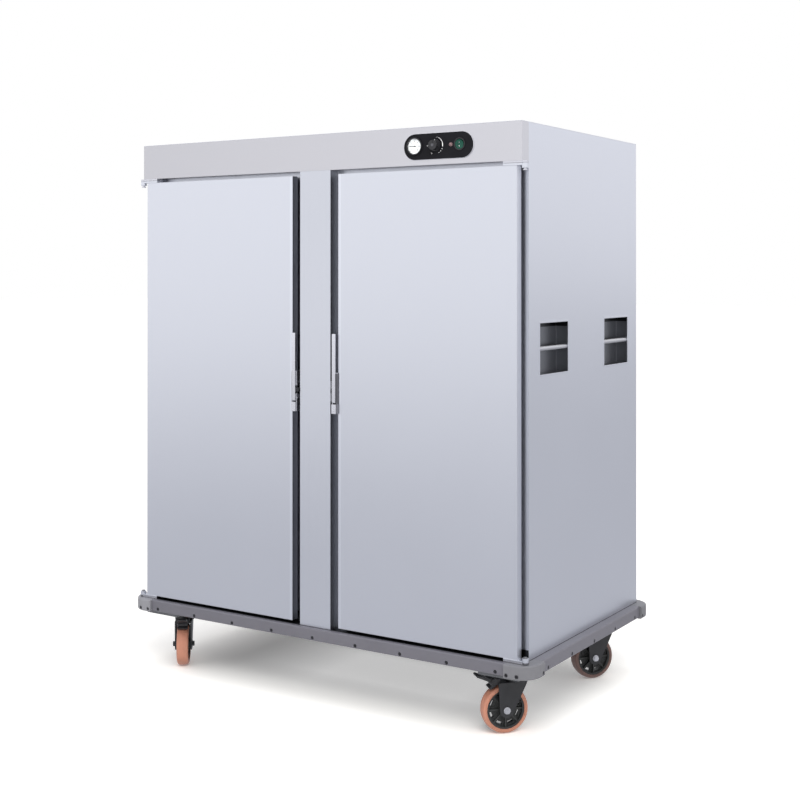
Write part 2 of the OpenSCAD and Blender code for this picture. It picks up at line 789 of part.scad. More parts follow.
// The four fixed leaves with their pins: two under the header, two on the chassis floor
module hinge_brackets() {
  x0 = half_w - leaf_l - 6;
  color("silver") for (s = [-1, 1]) on_side(s) {
    leaf(header_z - leaf_t, header_z, x0, leaf_w);
    translate([pin_x, pin_in, door_z1 - knuckle_drop - 3]) {
      cylinder(r = pin_r, h = header_z - leaf_t - door_z1 + knuckle_drop + 3 + eps);
      translate([0, 0, -3]) cylinder(r = pin_r + 2.5, h = 3);
    }
    leaf(floor_z, floor_z + bottom_leaf_t, x0, leaf_w);
    translate([pin_x, pin_in, floor_z]) cylinder(r = pin_r, h = door_z0 - floor_z + knuckle_drop + 2);
    translate([pin_x, pin_in, door_z0 + knuckle_drop + 0.6]) cylinder(r1 = pin_r + 2, r2 = pin_r, h = 3);
  }
}

// The moving leaves of one door, welded to the skin: plates with a knuckle beside the door
module door_leaves() {
  x0 = half_w - leaf_l - 6;
  top = header_z - leaf_t - leaf_gap;
  bottom = floor_z + bottom_leaf_t + leaf_gap;
  difference() {
    union() {
      leaf(door_z1 - eps, top, x0, leaf_w);
      translate([pin_x, pin_in, door_z1 - knuckle_drop]) cylinder(r = knuckle_r, h = knuckle_drop);
      leaf(bottom, door_z0 + eps, x0, leaf_w);
      translate([pin_x, pin_in, door_z0]) cylinder(r = knuckle_r, h = knuckle_drop);
    }
    translate([pin_x, pin_in, bottom - cut]) cylinder(r = pin_r + run_gap, h = top - bottom + 2 * cut);
  }
}

// Keeper plates on the sides of the centre post, level with the latch tongues
module strike_plates() {
  x0 = post_w / 2;
  color("silver") for (s = [-1, 1]) on_side(s) difference() {
    block([x0, 2, tongue_z - 24], [x0 + 1.8, 34, tongue_z + 36]);
    for (z = [tongue_z - 16, tongue_z + 28]) rod_x(x0 - cut, x0 + 2 + cut, 18, z, 2.2);
  }
}

// ---------------------------------------------------------------- doors

module door_skin(s) {
  color([0.85, 0.86, 0.89]) on_side(s) {
    difference() {
      block([door_x0, 0, door_z0], [door_x1, door_t, door_z1]);
      block([door_x0 + shell_t, shell_t, door_z0 + shell_t], [door_x1 - shell_t, door_t + cut, door_z1 - shell_t]);
    }
    door_leaves();
  }
}

// Inner panel: a flat edge behind the skin and a raised middle that enters the doorway
module door_liner(s) {
  i = seat_w + plug_gap;
  y0 = door_t - liner_t;
  y1 = face_step + plug_d;
  g = shell_t + 0.1;
  color([0.76, 0.77, 0.8]) on_side(s) difference() {
    union() {
      block([door_x0 + g, y0, door_z0 + g], [door_x1 - g, door_t, door_z1 - g]);
      block([door_x0 + i, y0, door_z0 + i], [door_x1 - i, y1, way_z1 - plug_gap]);
    }
    block([door_x0 + i + liner_t, y0 - cut, door_z0 + i + liner_t],
          [door_x1 - i - liner_t, y1 - liner_t, way_z1 - plug_gap - liner_t]);
  }
}

gasket_gap = 0.5;

// Gasket frame, seated on the inner panel and just clear of the face frame
module door_gasket(s) {
  a = gasket_in;
  b = a + gasket_w / 2 - 0.5;
  groove = 2.5;
  y1 = face_step - gasket_gap;
  color([0.18, 0.18, 0.19]) on_side(s) difference() {
    union() {
      block([door_x0 + a, door_t, door_z0 + a], [door_x1 - a, door_t + 6, door_z1 - a]);
      block([door_x0 + a + 3, door_t, door_z0 + a + 3], [door_x1 - a - 3, y1, door_z1 - a - 3]);
    }
    block([door_x0 + a + gasket_w, door_t - cut, door_z0 + a + gasket_w],
          [door_x1 - a - gasket_w, y1 + cut, door_z1 - a - gasket_w]);
    difference() {
      block([door_x0 + b, door_t + 8, door_z0 + b], [door_x1 - b, y1 + cut, door_z1 - b]);
      block([door_x0 + b + groove, door_t + 7, door_z0 + b + groove],
            [door_x1 - b - groove, y1 + 2 * cut, door_z1 - b - groove]);
    }
  }
}

// Handle housing on the free edge of a door: a channel behind the lever, open at the front, the
// back and where the tongue comes out, closed by a cap at the top and standing on a solid foot
module handle_housing(s) {
  t = housing_t;
  y0 = lever_y1 + lever_play;
  x_wall = lever_x0 + lever_w + lever_play;
  color("silver") on_side(s) {
    difference() {
      union() {
        block([housing_x0, y0, handle_z], [door_x0, housing_in, housing_z1]);
        block([housing_x0 + 1, -housing_out, handle_z], [door_x0 - 2.5, y0 + eps, handle_z + foot_h]);
      }
      block([housing_x0 + t, y0 - cut, handle_z + foot_h], [x_wall, housing_in + cut, housing_z1 - t]);
      block([housing_x0 - cut, y0 - cut, tongue_z - tongue_h / 2],
            [housing_x0 + t + cut, housing_in + cut, tongue_z + tongue_h * 1.5]);
    }
    rod_x(housing_x0 + t - eps, x_wall + eps, lever_pin[0], lever_pin[1], lever_pin_r);
  }
}

// Lever: a long blade in front of the housing and far above it, pivoted near its lower end, with
// an arm behind it that carries the latch tongue
module handle_lever(s) {
  x0 = lever_x0;
  x1 = x0 + lever_w;
  half_t = lever_t / 2;
  blade = concat(
    arc([lever_y0 + half_t, lever_z0 + half_t], half_t, 360, 180),
    arc([lever_y0 + half_t, housing_z1 + lever_l - half_t], half_t, 180, 0));
  color([0.84, 0.84, 0.86]) on_side(s) difference() {
    union() {
      translate([x0, 0, 0]) rotate([90, 0, 90]) linear_extrude(lever_w) polygon(blade);
      block([x0 + 1, lever_y1 - eps, lever_pin[1]], [x1 - 1, lever_pin[0] + 4, tongue_z + tongue_h + 4]);
      rod_x(x0 + 1, x1 - 1, lever_pin[0], lever_pin[1], 5.5);
      block([tongue_x0, lever_pin[0] - 3.4, tongue_z], [x0 + 2, lever_pin[0] + 9, tongue_z + tongue_h]);
    }
    rod_x(x0, x1, lever_pin[0], lever_pin[1], lever_pin_r + run_gap);
  }
}

// ---------------------------------------------------------------- casters

// Puts a caster piece on corner i: 0 front left, 1 front right, 2 rear left, 3 rear right
module at_caster(i) {
  in_cart() translate([(i % 2 ? 1 : -1) * caster_x, caster_ys[i < 2 ? 0 : 1], 0])
    rotate(caster_turn[i]) children();
}

// Fixed top plate of every caster: drilled plate, upper race, kingpin and four bolts
module caster_plates() {
  nut_h = 5;
  head_t = 3.6;
  x1 = bolt_dx / 2 + 12;
  y1 = bolt_dy / 2 + 12;
  color(dark) in_cart() caster_places() {
    difference() {
      block([-x1, -y1, caster_h - plate_t], [x1, y1, caster_h]);
      bolt_places() translate([0, 0, caster_h - plate_t - cut]) cylinder(r = bolt_r + 0.3, h = plate_t + 2 * cut);
    }
    translate([0, 0, race_z + race_gap]) cylinder(r = race_r, h = caster_h - plate_t - race_z - race_gap + eps);
    translate([0, 0, crown_z - head_t]) cylinder(r = kingpin_r, h = caster_h - crown_z);
    translate([0, 0, crown_z - head_t - race_gap]) cylinder(r = 10, h = head_t, $fn = 6);
    bolt_places() {
      translate([0, 0, caster_h - plate_t - nut_h]) cylinder(r = bolt_r * 1.8, h = nut_h, $fn = 6);
      translate([0, 0, caster_h - plate_t - nut_h]) cylinder(r = bolt_r, h = nut_h + plate_t + pad_t + 2);
      translate([0, 0, frame_z]) cylinder(r = bolt_r * 1.8, h = 4, $fn = 6);
    }
  }
}

// Outline of a fork cheek in the plane of the wheel: broad at the crown, round at the axle
function cheek() = concat(
  [[crown_x0 + 2, crown_z + crown_t], [crown_x0, crown_z + 1]],
  arc([trail, wheel_r], cheek_r, 196, 360 - 8, 8),
  [[crown_x1, crown_z - 12], [crown_x1, crown_z + crown_t]]);

// Swivelling fork: crown, lower race, two cheeks and, with a brake, two ears for its pedal
module caster_fork(i) {
  braked = i < 2;
  ear_y = pedal_w / 2 + 0.5;
  color(dark) at_caster(i) difference() {
    union() {
      block([crown_x0 + 2, -leg_gap - fork_t, crown_z], [crown_x1, leg_gap + fork_t, crown_z + crown_t]);
      translate([0, 0, crown_z]) cylinder(r = race_r + 1, h = crown_t);
      translate([0, 0, crown_z + crown_t - eps])
        cylinder(r1 = race_r + 1, r2 = race_r - 2, h = race_z - crown_z - crown_t);
      for (s = [-1, 1]) translate([0, s * (leg_gap + fork_t / 2) + fork_t / 2, 0])
        rotate([90, 0, 0]) linear_extrude(fork_t) polygon(cheek());
      if (braked) for (s = [0, 1]) mirror([0, s, 0]) {
        block([crown_x1 - 6, ear_y, crown_z], [pedal_x, ear_y + 4, crown_z + crown_t + 10]);
        translate([pedal_x, ear_y, pedal_z]) rotate([-90, 0, 0]) cylinder(r = 9, h = 4);
      }
      if (braked) translate([pedal_x, -ear_y - 2, pedal_z]) rotate([-90, 0, 0])
        cylinder(r = pedal_pin_r, h = 2 * ear_y + 4);
    }
    translate([0, 0, crown_z - cut]) cylinder(r = kingpin_r + run_gap, h = race_z);
    translate([trail, -leg_gap - fork_t - cut, wheel_r]) rotate([-90, 0, 0])
      cylinder(r = axle_r + run_gap, h = 2 * (leg_gap + fork_t + cut));
    if (braked) difference() {
      block([crown_x1 - 8, -ear_y, crown_z - cut], [pedal_x + 30, ear_y, pedal_z + 30]);
      translate([pedal_x, -pedal_w, pedal_z]) rotate([-90, 0, 0]) cylinder(r = pedal_pin_r, h = 2 * pedal_w);
    }
  }
}

// Axle bolt with a flanged hex head and a nut
module caster_axle(i) {
  out = leg_gap + fork_t;
  color("silver") at_caster(i) translate([trail, 0, wheel_r]) rotate([-90, 0, 0]) {
    translate([0, 0, -out - 6]) cylinder(r = axle_r, h = 2 * out + 14);
    for (s = [0, 1]) mirror([0, 0, s]) {
      translate([0, 0, out]) cylinder(r = 10, h = 1.6);
      translate([0, 0, out + 1.6]) cylinder(r = 8.6, h = 6, $fn = 6);
    }
  }
}

// A window of the rim between two spokes, from radius r0 to r1
module rim_window(r0, r1, half_angle, h) {
  inner = half_angle * 0.72;
  translate([0, 0, -h / 2]) linear_extrude(h)
    polygon(concat(arc([0, 0], r1, -half_angle, half_angle, 6), arc([0, 0], r0, inner, -inner, 4)));
}

// Wheel centre: hub, ribbed spokes and the band that the tyre is bonded to
module caster_rim(i) {
  web_t = 12;
  rib_t = tyre_w - 10;
  band = 5.5;
  color(dark) at_caster(i) translate([trail, 0, wheel_r]) rotate([-90, 0, 0]) difference() {
    union() {
      translate([0, 0, -leg_gap + 1]) cylinder(r = hub_r, h = 2 * leg_gap - 2);
      difference() {
        translate([0, 0, -tyre_w / 2 + 2]) cylinder(r = rim_r, h = tyre_w - 4);
        for (s = [-1, 1]) translate([0, 0, s * (tyre_w / 4 + web_t / 4) - tyre_w / 4])
          cylinder(r = rim_r - band, h = tyre_w / 2);
      }
      translate([0, 0, -web_t / 2]) cylinder(r = rim_r - 1, h = web_t);
      for (k = [0:spokes - 1]) rotate(k * 360 / spokes)
        translate([hub_r - 2, -2, -rib_t / 2]) cube([rim_r - hub_r - 2, 4, rib_t]);
    }
    for (k = [0:spokes - 1]) rotate((k + 0.5) * 360 / spokes)
      rim_window(hub_r + 14, rim_r - band - 4, 100 / spokes, tyre_w);
    translate([0, 0, -leg_gap]) cylinder(r = axle_r + run_gap, h = 2 * leg_gap);
  }
}

// Tyre: a band with a crowned tread and rounded shoulders
module caster_tyre(i) {
  w = tyre_w / 2;
  shoulder = 7;
  crown = 1.5;
  profile = concat(
    [[rim_r, -w + 1]],
    arc([wheel_r - shoulder - crown, -w + shoulder], shoulder, -90, -12, 5),
    [[wheel_r, 0]],
    arc([wheel_r - shoulder - crown, w - shoulder], shoulder, 12, 90, 5),
    [[rim_r, w - 1]]);
  color([0.80, 0.45, 0.32]) at_caster(i) translate([trail, 0, wheel_r]) rotate([-90, 0, 0])
    rotate_extrude() polygon(profile);
}

// Brake pedal: a cranked foot plate, the pivot eye and a shoe that follows the tread
module brake_pedal(i) {
  eye = 7.5;
  axle = [trail - pedal_x, wheel_r - pedal_z];
  plate = concat(
    arc([0, 0], eye, 225, 95, 6),
    [[18, 9], [34, 15]],
    arc([50, 17.5], 3.5, 90, -70, 4),
    [[36, 8], [20, 1], [9, -6]]);
  shoe = concat(arc(axle, wheel_r + shoe_gap, 52, 66), arc(axle, wheel_r + shoe_gap + 7, 66, 52));
  color([0.15, 0.15, 0.16]) at_caster(i) translate([pedal_x, 0, pedal_z]) rotate([90, 0, 0]) difference() {
    translate([0, 0, -pedal_w / 2]) linear_extrude(pedal_w) {
      polygon(plate);
      polygon(shoe);
      polygon([[-eye * 0.6, 0], [eye, 0], shoe[10], shoe[6]]);
    }
    translate([0, 0, -pedal_w]) cylinder(r = pedal_pin_r + run_gap, h = 2 * pedal_w);
  }
}

base_frame();
floor_pan();
bumper_rails();
bumper_corners();
side_panel(-1);  // side_panel_left
side_panel(1);  // side_panel_right
back_panel();
top_panel();
header_box();
face_frame();
compartment_liners();
wall_insulation();
grip_bars();
tray_runners();
heater_elements();
fan_motors();
heater_covers();
control_plate();
gauge_case();
gauge_dial();
gauge_lens();
gauge_pointer();
thermostat_knob();
pilot_lamp();
switch_housing();
switch_rocker();
power_inlet();
hinge_brackets();
strike_plates();
caster_plates();
fan_rotor(-1);  // fan_rotor_left
fan_rotor(1);  // fan_rotor_right
door_skin(-1);  // door_skin_left
door_liner(-1);  // door_liner_left
door_gasket(-1);  // door_gasket_left
handle_housing(-1);  // handle_housing_left
handle_lever(-1);  // handle_lever_left
door_skin(1);  // door_skin_right
door_liner(1);  // door_liner_right
door_gasket(1);  // door_gasket_right
handle_housing(1);  // handle_housing_right
handle_lever(1);  // handle_lever_right
caster_fork(0);  // caster_fork_front_left
caster_axle(0);  // caster_axle_front_left
caster_rim(0);  // caster_rim_front_left
caster_tyre(0);  // caster_tyre_front_left
brake_pedal(0);  // brake_pedal_front_left
caster_fork(1);  // caster_fork_front_right
caster_axle(1);  // caster_axle_front_right
caster_rim(1);  // caster_rim_front_right
caster_tyre(1);  // caster_tyre_front_right
brake_pedal(1);  // brake_pedal_front_right
caster_fork(2);  // caster_fork_rear_left
caster_axle(2);  // caster_axle_rear_left
caster_rim(2);  // caster_rim_rear_left
caster_tyre(2);  // caster_tyre_rear_left
caster_fork(3);  // caster_fork_rear_right
caster_axle(3);  // caster_axle_rear_right
caster_rim(3);  // caster_rim_rear_right
caster_tyre(3);  // caster_tyre_rear_right
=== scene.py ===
"""Looks of the heated meal tray cart: camera, studio, materials and the small parts on the CAD frame."""
import math
import random

import bpy
import bmesh
from mathutils import Matrix, Vector


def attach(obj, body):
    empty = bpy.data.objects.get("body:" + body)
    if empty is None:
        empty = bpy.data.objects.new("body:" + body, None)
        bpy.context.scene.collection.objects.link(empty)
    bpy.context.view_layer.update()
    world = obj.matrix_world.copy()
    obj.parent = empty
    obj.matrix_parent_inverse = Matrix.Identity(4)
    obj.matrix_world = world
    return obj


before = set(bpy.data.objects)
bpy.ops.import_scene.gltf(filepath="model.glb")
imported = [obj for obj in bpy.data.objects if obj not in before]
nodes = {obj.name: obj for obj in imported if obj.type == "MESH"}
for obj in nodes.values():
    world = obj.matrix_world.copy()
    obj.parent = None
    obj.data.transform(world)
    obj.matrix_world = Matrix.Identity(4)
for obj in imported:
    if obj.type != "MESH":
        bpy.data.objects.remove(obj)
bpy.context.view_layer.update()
random.seed(7)

# ---------------------------------------------------------------- sizes of the cart, in mm

MM = 0.001
DEPTH_MID = 417.5          # the door faces lie this far ahead of the frame's origin
SIDE_X = 710.0             # outer face of a side panel
DOOR_X0, DOOR_X1, DOOR_Z0, DOOR_Z1 = 86.8, 693.5, 240.0, 1615.0
WAY_X0, WAY_X1, WAY_Z0, WAY_Z1 = 112.8, 667.5, 266.0, 1590.0
WAY_MID = (WAY_X0 + WAY_X1) / 2
LEVELS = 9                 # tray levels in a compartment
PANEL_X, PANEL_Z = 440.0, 1682.0
DIAL_Z = 1684.0
GAUGE_X, KNOB_X, SWITCH_X = 362.0, 431.5, 512.0
HANDLE_PIN_Z = 929.5
CASTER_AT = {"front_left": (-631, 116, 307), "front_right": (631, 116, 227),
             "rear_left": (-631, 720, 235), "rear_right": (631, 720, 232)}   # x, y and turn in degrees

# Sizes of small parts, in metres
TRAIL, WHEEL_R = 0.038, 0.069

FRONT_CORNERS = ("front_left", "front_right")
REAR_CORNERS = ("rear_left", "rear_right")
CORNERS = FRONT_CORNERS + REAR_CORNERS
SIDES = (-1, 1)
FORWARD, BACKWARD = (0, -1, 0), (0, 1, 0)


def at(x, y, z):
    """A point given in mm, with y measured back from the door faces."""
    return Vector((x * MM, (y - DEPTH_MID) * MM, z * MM))


# ---------------------------------------------------------------- node helpers

SOFT_PLACE = 0.0003        # half the soft edge of a shade, in metres
SOFT_NORMAL = 0.1          # the same for a shade that goes by the way a face looks


class Shader:
    """A small helper to wire a material's or the world's nodes."""

    def __init__(self, tree):
        self.tree = tree
        tree.nodes.clear()

    def add(self, kind, **inputs):
        n = self.tree.nodes.new(kind)
        for key, value in inputs.items():
            if key in n.inputs:
                self.plug(value, n.inputs[key])
            else:
                setattr(n, key, value)
        return n

    def plug(self, value, socket):
        if isinstance(value, bpy.types.NodeSocket):
            self.tree.links.new(value, socket)
        else:
            socket.default_value = value

    def math(self, op, a, b=0.0):
        n = self.tree.nodes.new("ShaderNodeMath")
        n.operation = op
        self.plug(a, n.inputs[0])
        self.plug(b, n.inputs[1])
        return n.outputs[0]

    def product(self, *values):
        total = values[0]
        for value in values[1:]:
            total = self.math("MULTIPLY", total, value)
        return total

    def mix(self, factor, a, b, blend="MIX"):
        n = self.tree.nodes.new("ShaderNodeMix")
        n.data_type = "RGBA"
        n.blend_type = blend
        self.plug(factor, n.inputs[0])
        self.plug(a, n.inputs[6])
        self.plug(b, n.inputs[7])
        return n.outputs[2]

    def choose(self, factor, a, b):
        """The shader a where the factor is 0 and b where it is 1."""
        n = self.add("ShaderNodeMixShader")
        for value, socket in zip((factor, a.outputs[0], b.outputs[0]), n.inputs):
            self.plug(value, socket)
        return n.outputs[0]

    def span(self, value, lo, hi, out_lo, out_hi):
        n = self.add("ShaderNodeMapRange")
        keys = ("Value", "From Min", "From Max", "To Min", "To Max")
        for key, v in zip(keys, (value, lo, hi, out_lo, out_hi)):
            self.plug(v, n.inputs[key])
        return n.outputs[0]

    def noise(self, scale, detail, stretch=(1, 1, 1)):
        place = self.add("ShaderNodeMapping", Vector=self.coords())
        place.inputs["Scale"].default_value = stretch
        n = self.add("ShaderNodeTexNoise", Vector=place.outputs[0], Scale=scale, Detail=detail, Roughness=0.5)
        return n.outputs["Fac"]

    def coords(self):
        if not hasattr(self, "_coords"):
            self._coords = self.add("ShaderNodeTexCoord").outputs["Object"]
        return self._coords

    def along(self, axis):
        """Place along X, Y or Z, the size of X (AX), or the size of the normal's part along X (NX)."""
        source = self.add("ShaderNodeTexCoord").outputs["Normal"] if axis[0] == "N" else self.coords()
        value = self.add("ShaderNodeSeparateXYZ", Vector=source).outputs[axis[-1]]
        return self.math("ABSOLUTE", value) if len(axis) > 1 else value

    def inside(self, axis, lo, hi):
        """One between two places along an axis and zero outside, with soft edges."""
        soft = SOFT_NORMAL if axis[0] == "N" else SOFT_PLACE
        here = self.along(axis)
        rise = self.span(here, lo - soft, lo + soft, 0.0, 1.0)
        fall = self.span(here, hi - soft, hi + soft, 1.0, 0.0)
        return self.product(rise, fall)

    def scaled(self, tone, factor):
        grey = self.add("ShaderNodeCombineColor")
        for socket in grey.inputs:
            self.plug(factor, socket)
        return self.mix(1.0, tone, grey.outputs[0], "MULTIPLY")


def rgba(c):
    return (c[0], c[1], c[2], 1.0)


# ---------------------------------------------------------------- materials

def material(name, colour, rough, metal=0.0, vary=0.04, rough_vary=0.05, bump=0.0, bump_scale=300.0,
             stretch=(1, 1, 1), cloud=3.0, edge=0.0, ramp=None, shades=(), **sockets):
    """A surface with drifting tone, uneven gloss, a fine grain in relief and softened edges.

    The painted gradient (axis, from, to, a, b) scales the tone from a to b along an axis of the piece, in
    metres, as painted light and shade. Each shade (bounds, factor) scales it inside a box, whose bounds are
    for the axes that Shader.along names; most are painted shade, one a painted highlight."""
    m = bpy.data.materials.new(name)
    m.use_nodes = True
    s = Shader(m.node_tree)
    out = s.add("ShaderNodeOutputMaterial")
    b = s.add("ShaderNodeBsdfPrincipled")
    s.plug(b.outputs[0], out.inputs[0])
    b.inputs["Metallic"].default_value = metal
    for key, value in sockets.items():
        b.inputs[key.replace("_", " ")].default_value = value
    drift = s.noise(cloud, 4.0)
    dark = [c * (1 - vary) for c in colour]
    light = [min(1.0, c * (1 + vary)) for c in colour]
    tone = s.mix(s.span(drift, 0.3, 0.7, 0.0, 1.0), rgba(dark), rgba(light))
    # painted light and shade: a gradient along the piece, then boxes of painted shade or painted highlight
    if ramp:
        axis, lo, hi, first, last = ramp
        tone = s.scaled(tone, s.span(s.along(axis), lo, hi, first, last))
    for bounds, factor in shades:
        mask = s.product(*(s.inside(axis, lo, hi) for axis, (lo, hi) in bounds.items()))
        tone = s.scaled(tone, s.span(mask, 0.0, 1.0, 1.0, factor))
    s.plug(tone, b.inputs["Base Color"])
    grain = s.noise(bump_scale, 2.0, stretch)
    gloss = s.math("ADD", s.span(drift, 0.3, 0.7, -rough_vary, rough_vary), rough)
    gloss = s.math("ADD", gloss, s.span(grain, 0.3, 0.7, -rough_vary * 0.6, rough_vary * 0.6))
    s.plug(gloss, b.inputs["Roughness"])
    normal = None
    if edge:
        normal = s.add("ShaderNodeBevel", Radius=edge).outputs[0]
    if bump:
        n = s.add("ShaderNodeBump", Height=grain, Strength=bump, Distance=0.0004)
        if normal is not None:
            s.plug(normal, n.inputs["Normal"])
        normal = n.outputs[0]
    if normal is not None:
        s.plug(normal, b.inputs["Normal"])
    return m


STEEL = (0.70, 0.715, 0.765)
UPRIGHT, ACROSS = (260, 260, 3), (3, 260, 260)


def brushed(name, colour=STEEL, stretch=UPRIGHT, **extra):
    """Brushed stainless sheet."""
    return material(name, colour, 0.33, 1.0, vary=0.012, rough_vary=0.02, bump=0.05, bump_scale=3.0,
                    stretch=stretch, cloud=1.3, edge=0.0014, **extra)


def polished(name, colour, rough, **extra):
    """Smooth stainless fittings."""
    return material(name, colour, rough, 1.0, vary=0.02, rough_vary=0.05, bump=0.05, bump_scale=4.0,
                    stretch=(300, 300, 6), cloud=9.0, edge=0.0012, **extra)


def tyre_rubber(name, colour, rough, vary):
    return material(name, colour, rough, vary=vary, rough_vary=0.09, bump=0.14, bump_scale=380.0,
                    cloud=26.0, edge=0.0008)


def printed(name, colour, vary):
    """Flat print on a dial or a plate."""
    return material(name, colour, 0.6, vary=vary, cloud=200.0)


def metres(lo, hi):
    return (lo * MM, hi * MM)


# Shades: where a piece is darker or lighter than the rest of it; most of these are painted shade, one a
# painted highlight
# painted shade on the sides of the doors and the centre post that face into the gaps between them
EDGE_FACES_PAINTED_SHADE = {"AX": metres(0, 100), "NX": (0.5, 2)}
# a painted highlight: a strip on each door's face along its free edge, made 10% lighter
DOOR_EDGE_PAINTED_HIGHLIGHT = {"AX": metres(DOOR_X0 + 0.3, 96.5)}
# painted shade: the face frame behind and under the doors, darkened to near black
UNDER_DOORS_PAINTED_SHADE = {"AX": metres(DOOR_X0, 800), "Y": metres(-416, 500), "Z": metres(0, 260)}
# painted shade inside the grip recesses of the side panels, and a darker painted shadow along their top
GRIP_RECESS_PAINTED_SHADE = {"AX": metres(600, SIDE_X - 1.6), "Z": metres(1000, 1200), "Y": metres(-370, 400)}
GRIP_RECESS_TOP_PAINTED_SHADOW = {"AX": metres(600, SIDE_X - 2.0), "Z": metres(1158, 1200), "Y": metres(-370, 400)}
# painted shade on the lever: its tongue inside the gap near black, and its parts behind the door's face
# darker
LATCH_TONGUE_PAINTED_SHADE = {"AX": metres(0, 69)}
LEVER_BACK_PAINTED_SHADE = {"Y": metres(-412, 0)}
# painted shade in the handle housings' pockets, and on the side faces of the right handle's housing
HOUSING_POCKET_PAINTED_SHADE = {"AX": metres(69, 87), "Z": metres(917.2, 1009.5)}
RIGHT_HOUSING_SIDE_PAINTED_SHADE = {"NX": (0.5, 2), "X": metres(0, 200)}
LOWER_KNUCKLES = {"AX": metres(SIDE_X + 0.5, 800), "Z": metres(0, 300)}

mats, SLOT_OF = {}, {}


def look(key, slot, made, *names):
    """Keeps a material and its slot under a key, and puts it on the CAD nodes that wear it."""
    mats[key] = made
    SLOT_OF[key] = slot
    for name in names:
        data = nodes[name].data
        data.materials.clear()
        data.materials.append(made)


def each(prefix, ends):
    return [prefix + end for end in ends]


def sheet_looks():
    look("outer", "cabinet_steel", brushed("outer_steel"), "back_panel", "top_panel")
    # the grip recesses of the side panels get painted shade, darkest along their top
    look("side", "cabinet_steel",
         brushed("side_steel", shades=[(GRIP_RECESS_PAINTED_SHADE, 0.30), (GRIP_RECESS_TOP_PAINTED_SHADOW, 0.15)]),
         "side_panel_left", "side_panel_right")
    # the floor pan is steel coloured near black as painted shade
    look("pan", "inner_steel",
         material("pan_steel_painted_shade", (0.05, 0.05, 0.055), 0.45, 1.0, vary=0.05, bump=0.05, bump_scale=90.0,
                  cloud=6.0),
         "floor_pan")
    # painted shade on the door's edge faces, and a painted highlight along its free edge
    look("door", "door_steel", brushed("door_steel", shades=[(EDGE_FACES_PAINTED_SHADE, 0.50), (DOOR_EDGE_PAINTED_HIGHLIGHT, 1.10)]),
         "door_skin_left", "door_skin_right")
    # the centre post is darker towards the top as painted shade; its gap sides and the frame under the doors
    # get painted shade too
    look("post", "inner_steel",
         brushed("post_steel", ramp=("Z", 0.9, 1.5, 0.985, 0.90),
                 shades=[(EDGE_FACES_PAINTED_SHADE, 0.50), (UNDER_DOORS_PAINTED_SHADE, 0.06)]),
         "face_frame")
    # the header is lighter towards the right as painted light
    look("header", "cabinet_steel",
         brushed("header_steel", (0.605, 0.598, 0.622), ACROSS, ramp=("X", -0.70, 0.70, 0.95, 1.06)),
         "header_box")
    look("inner", "inner_steel",
         material("inner_steel", (0.60, 0.61, 0.64), 0.38, 1.0, vary=0.03, rough_vary=0.05, bump=0.06,
                  bump_scale=3.0, stretch=ACROSS, edge=0.001),
         "compartment_liners", "tray_runners", "heater_covers", "door_liner_left", "door_liner_right")


def fitting_looks():
    # the lever is darker towards its lower end as painted shade, with painted shade on its tongue and on its
    # parts behind the door's face
    look("lever", "bright_steel",
         polished("lever_steel", (0.74, 0.74, 0.78), 0.26, ramp=("Z", 0.93, 1.13, 0.86, 1.0),
                  shades=[(LATCH_TONGUE_PAINTED_SHADE, 0.10), (LEVER_BACK_PAINTED_SHADE, 0.35)]),
         "handle_lever_left", "handle_lever_right")
    # painted shade in the housing's pocket and on the right housing's side faces
    look("housing", "bright_steel",
         polished("housing_steel", (0.72, 0.72, 0.76), 0.30,
                  shades=[(HOUSING_POCKET_PAINTED_SHADE, 0.33), (RIGHT_HOUSING_SIDE_PAINTED_SHADE, 0.35)]),
         "handle_housing_left", "handle_housing_right")
    look("bar", "bright_steel",
         material("grip_steel", (0.56, 0.56, 0.58), 0.36, 1.0, vary=0.03, rough_vary=0.05, bump=0.05,
                  bump_scale=4.0, stretch=(300, 6, 300), cloud=9.0),
         "grip_bars")
    look("hinge", "bright_steel",
         material("hinge_steel", (0.66, 0.66, 0.70), 0.30, 1.0, vary=0.03, rough_vary=0.06, bump=0.06,
                  bump_scale=600.0, cloud=20.0, edge=0.0008, shades=[(LOWER_KNUCKLES, 0.35)]),
         "hinge_brackets")
    look("bright", "bright_steel", polished("handle_steel", (0.80, 0.80, 0.83), 0.24), "strike_plates")
    look("screw", "bright_steel",
         material("screw_dark", (0.055, 0.055, 0.06), 0.38, 0.7, vary=0.2, rough_vary=0.1, bump=0.1,
                  bump_scale=900.0, cloud=80.0, edge=0.0004))
    look("rubber", "gasket_rubber",
         material("gasket_rubber", (0.13, 0.13, 0.145), 0.62, vary=0.1, rough_vary=0.06, bump=0.12,
                  bump_scale=700.0, cloud=20.0),
         "door_gasket_left", "door_gasket_right")


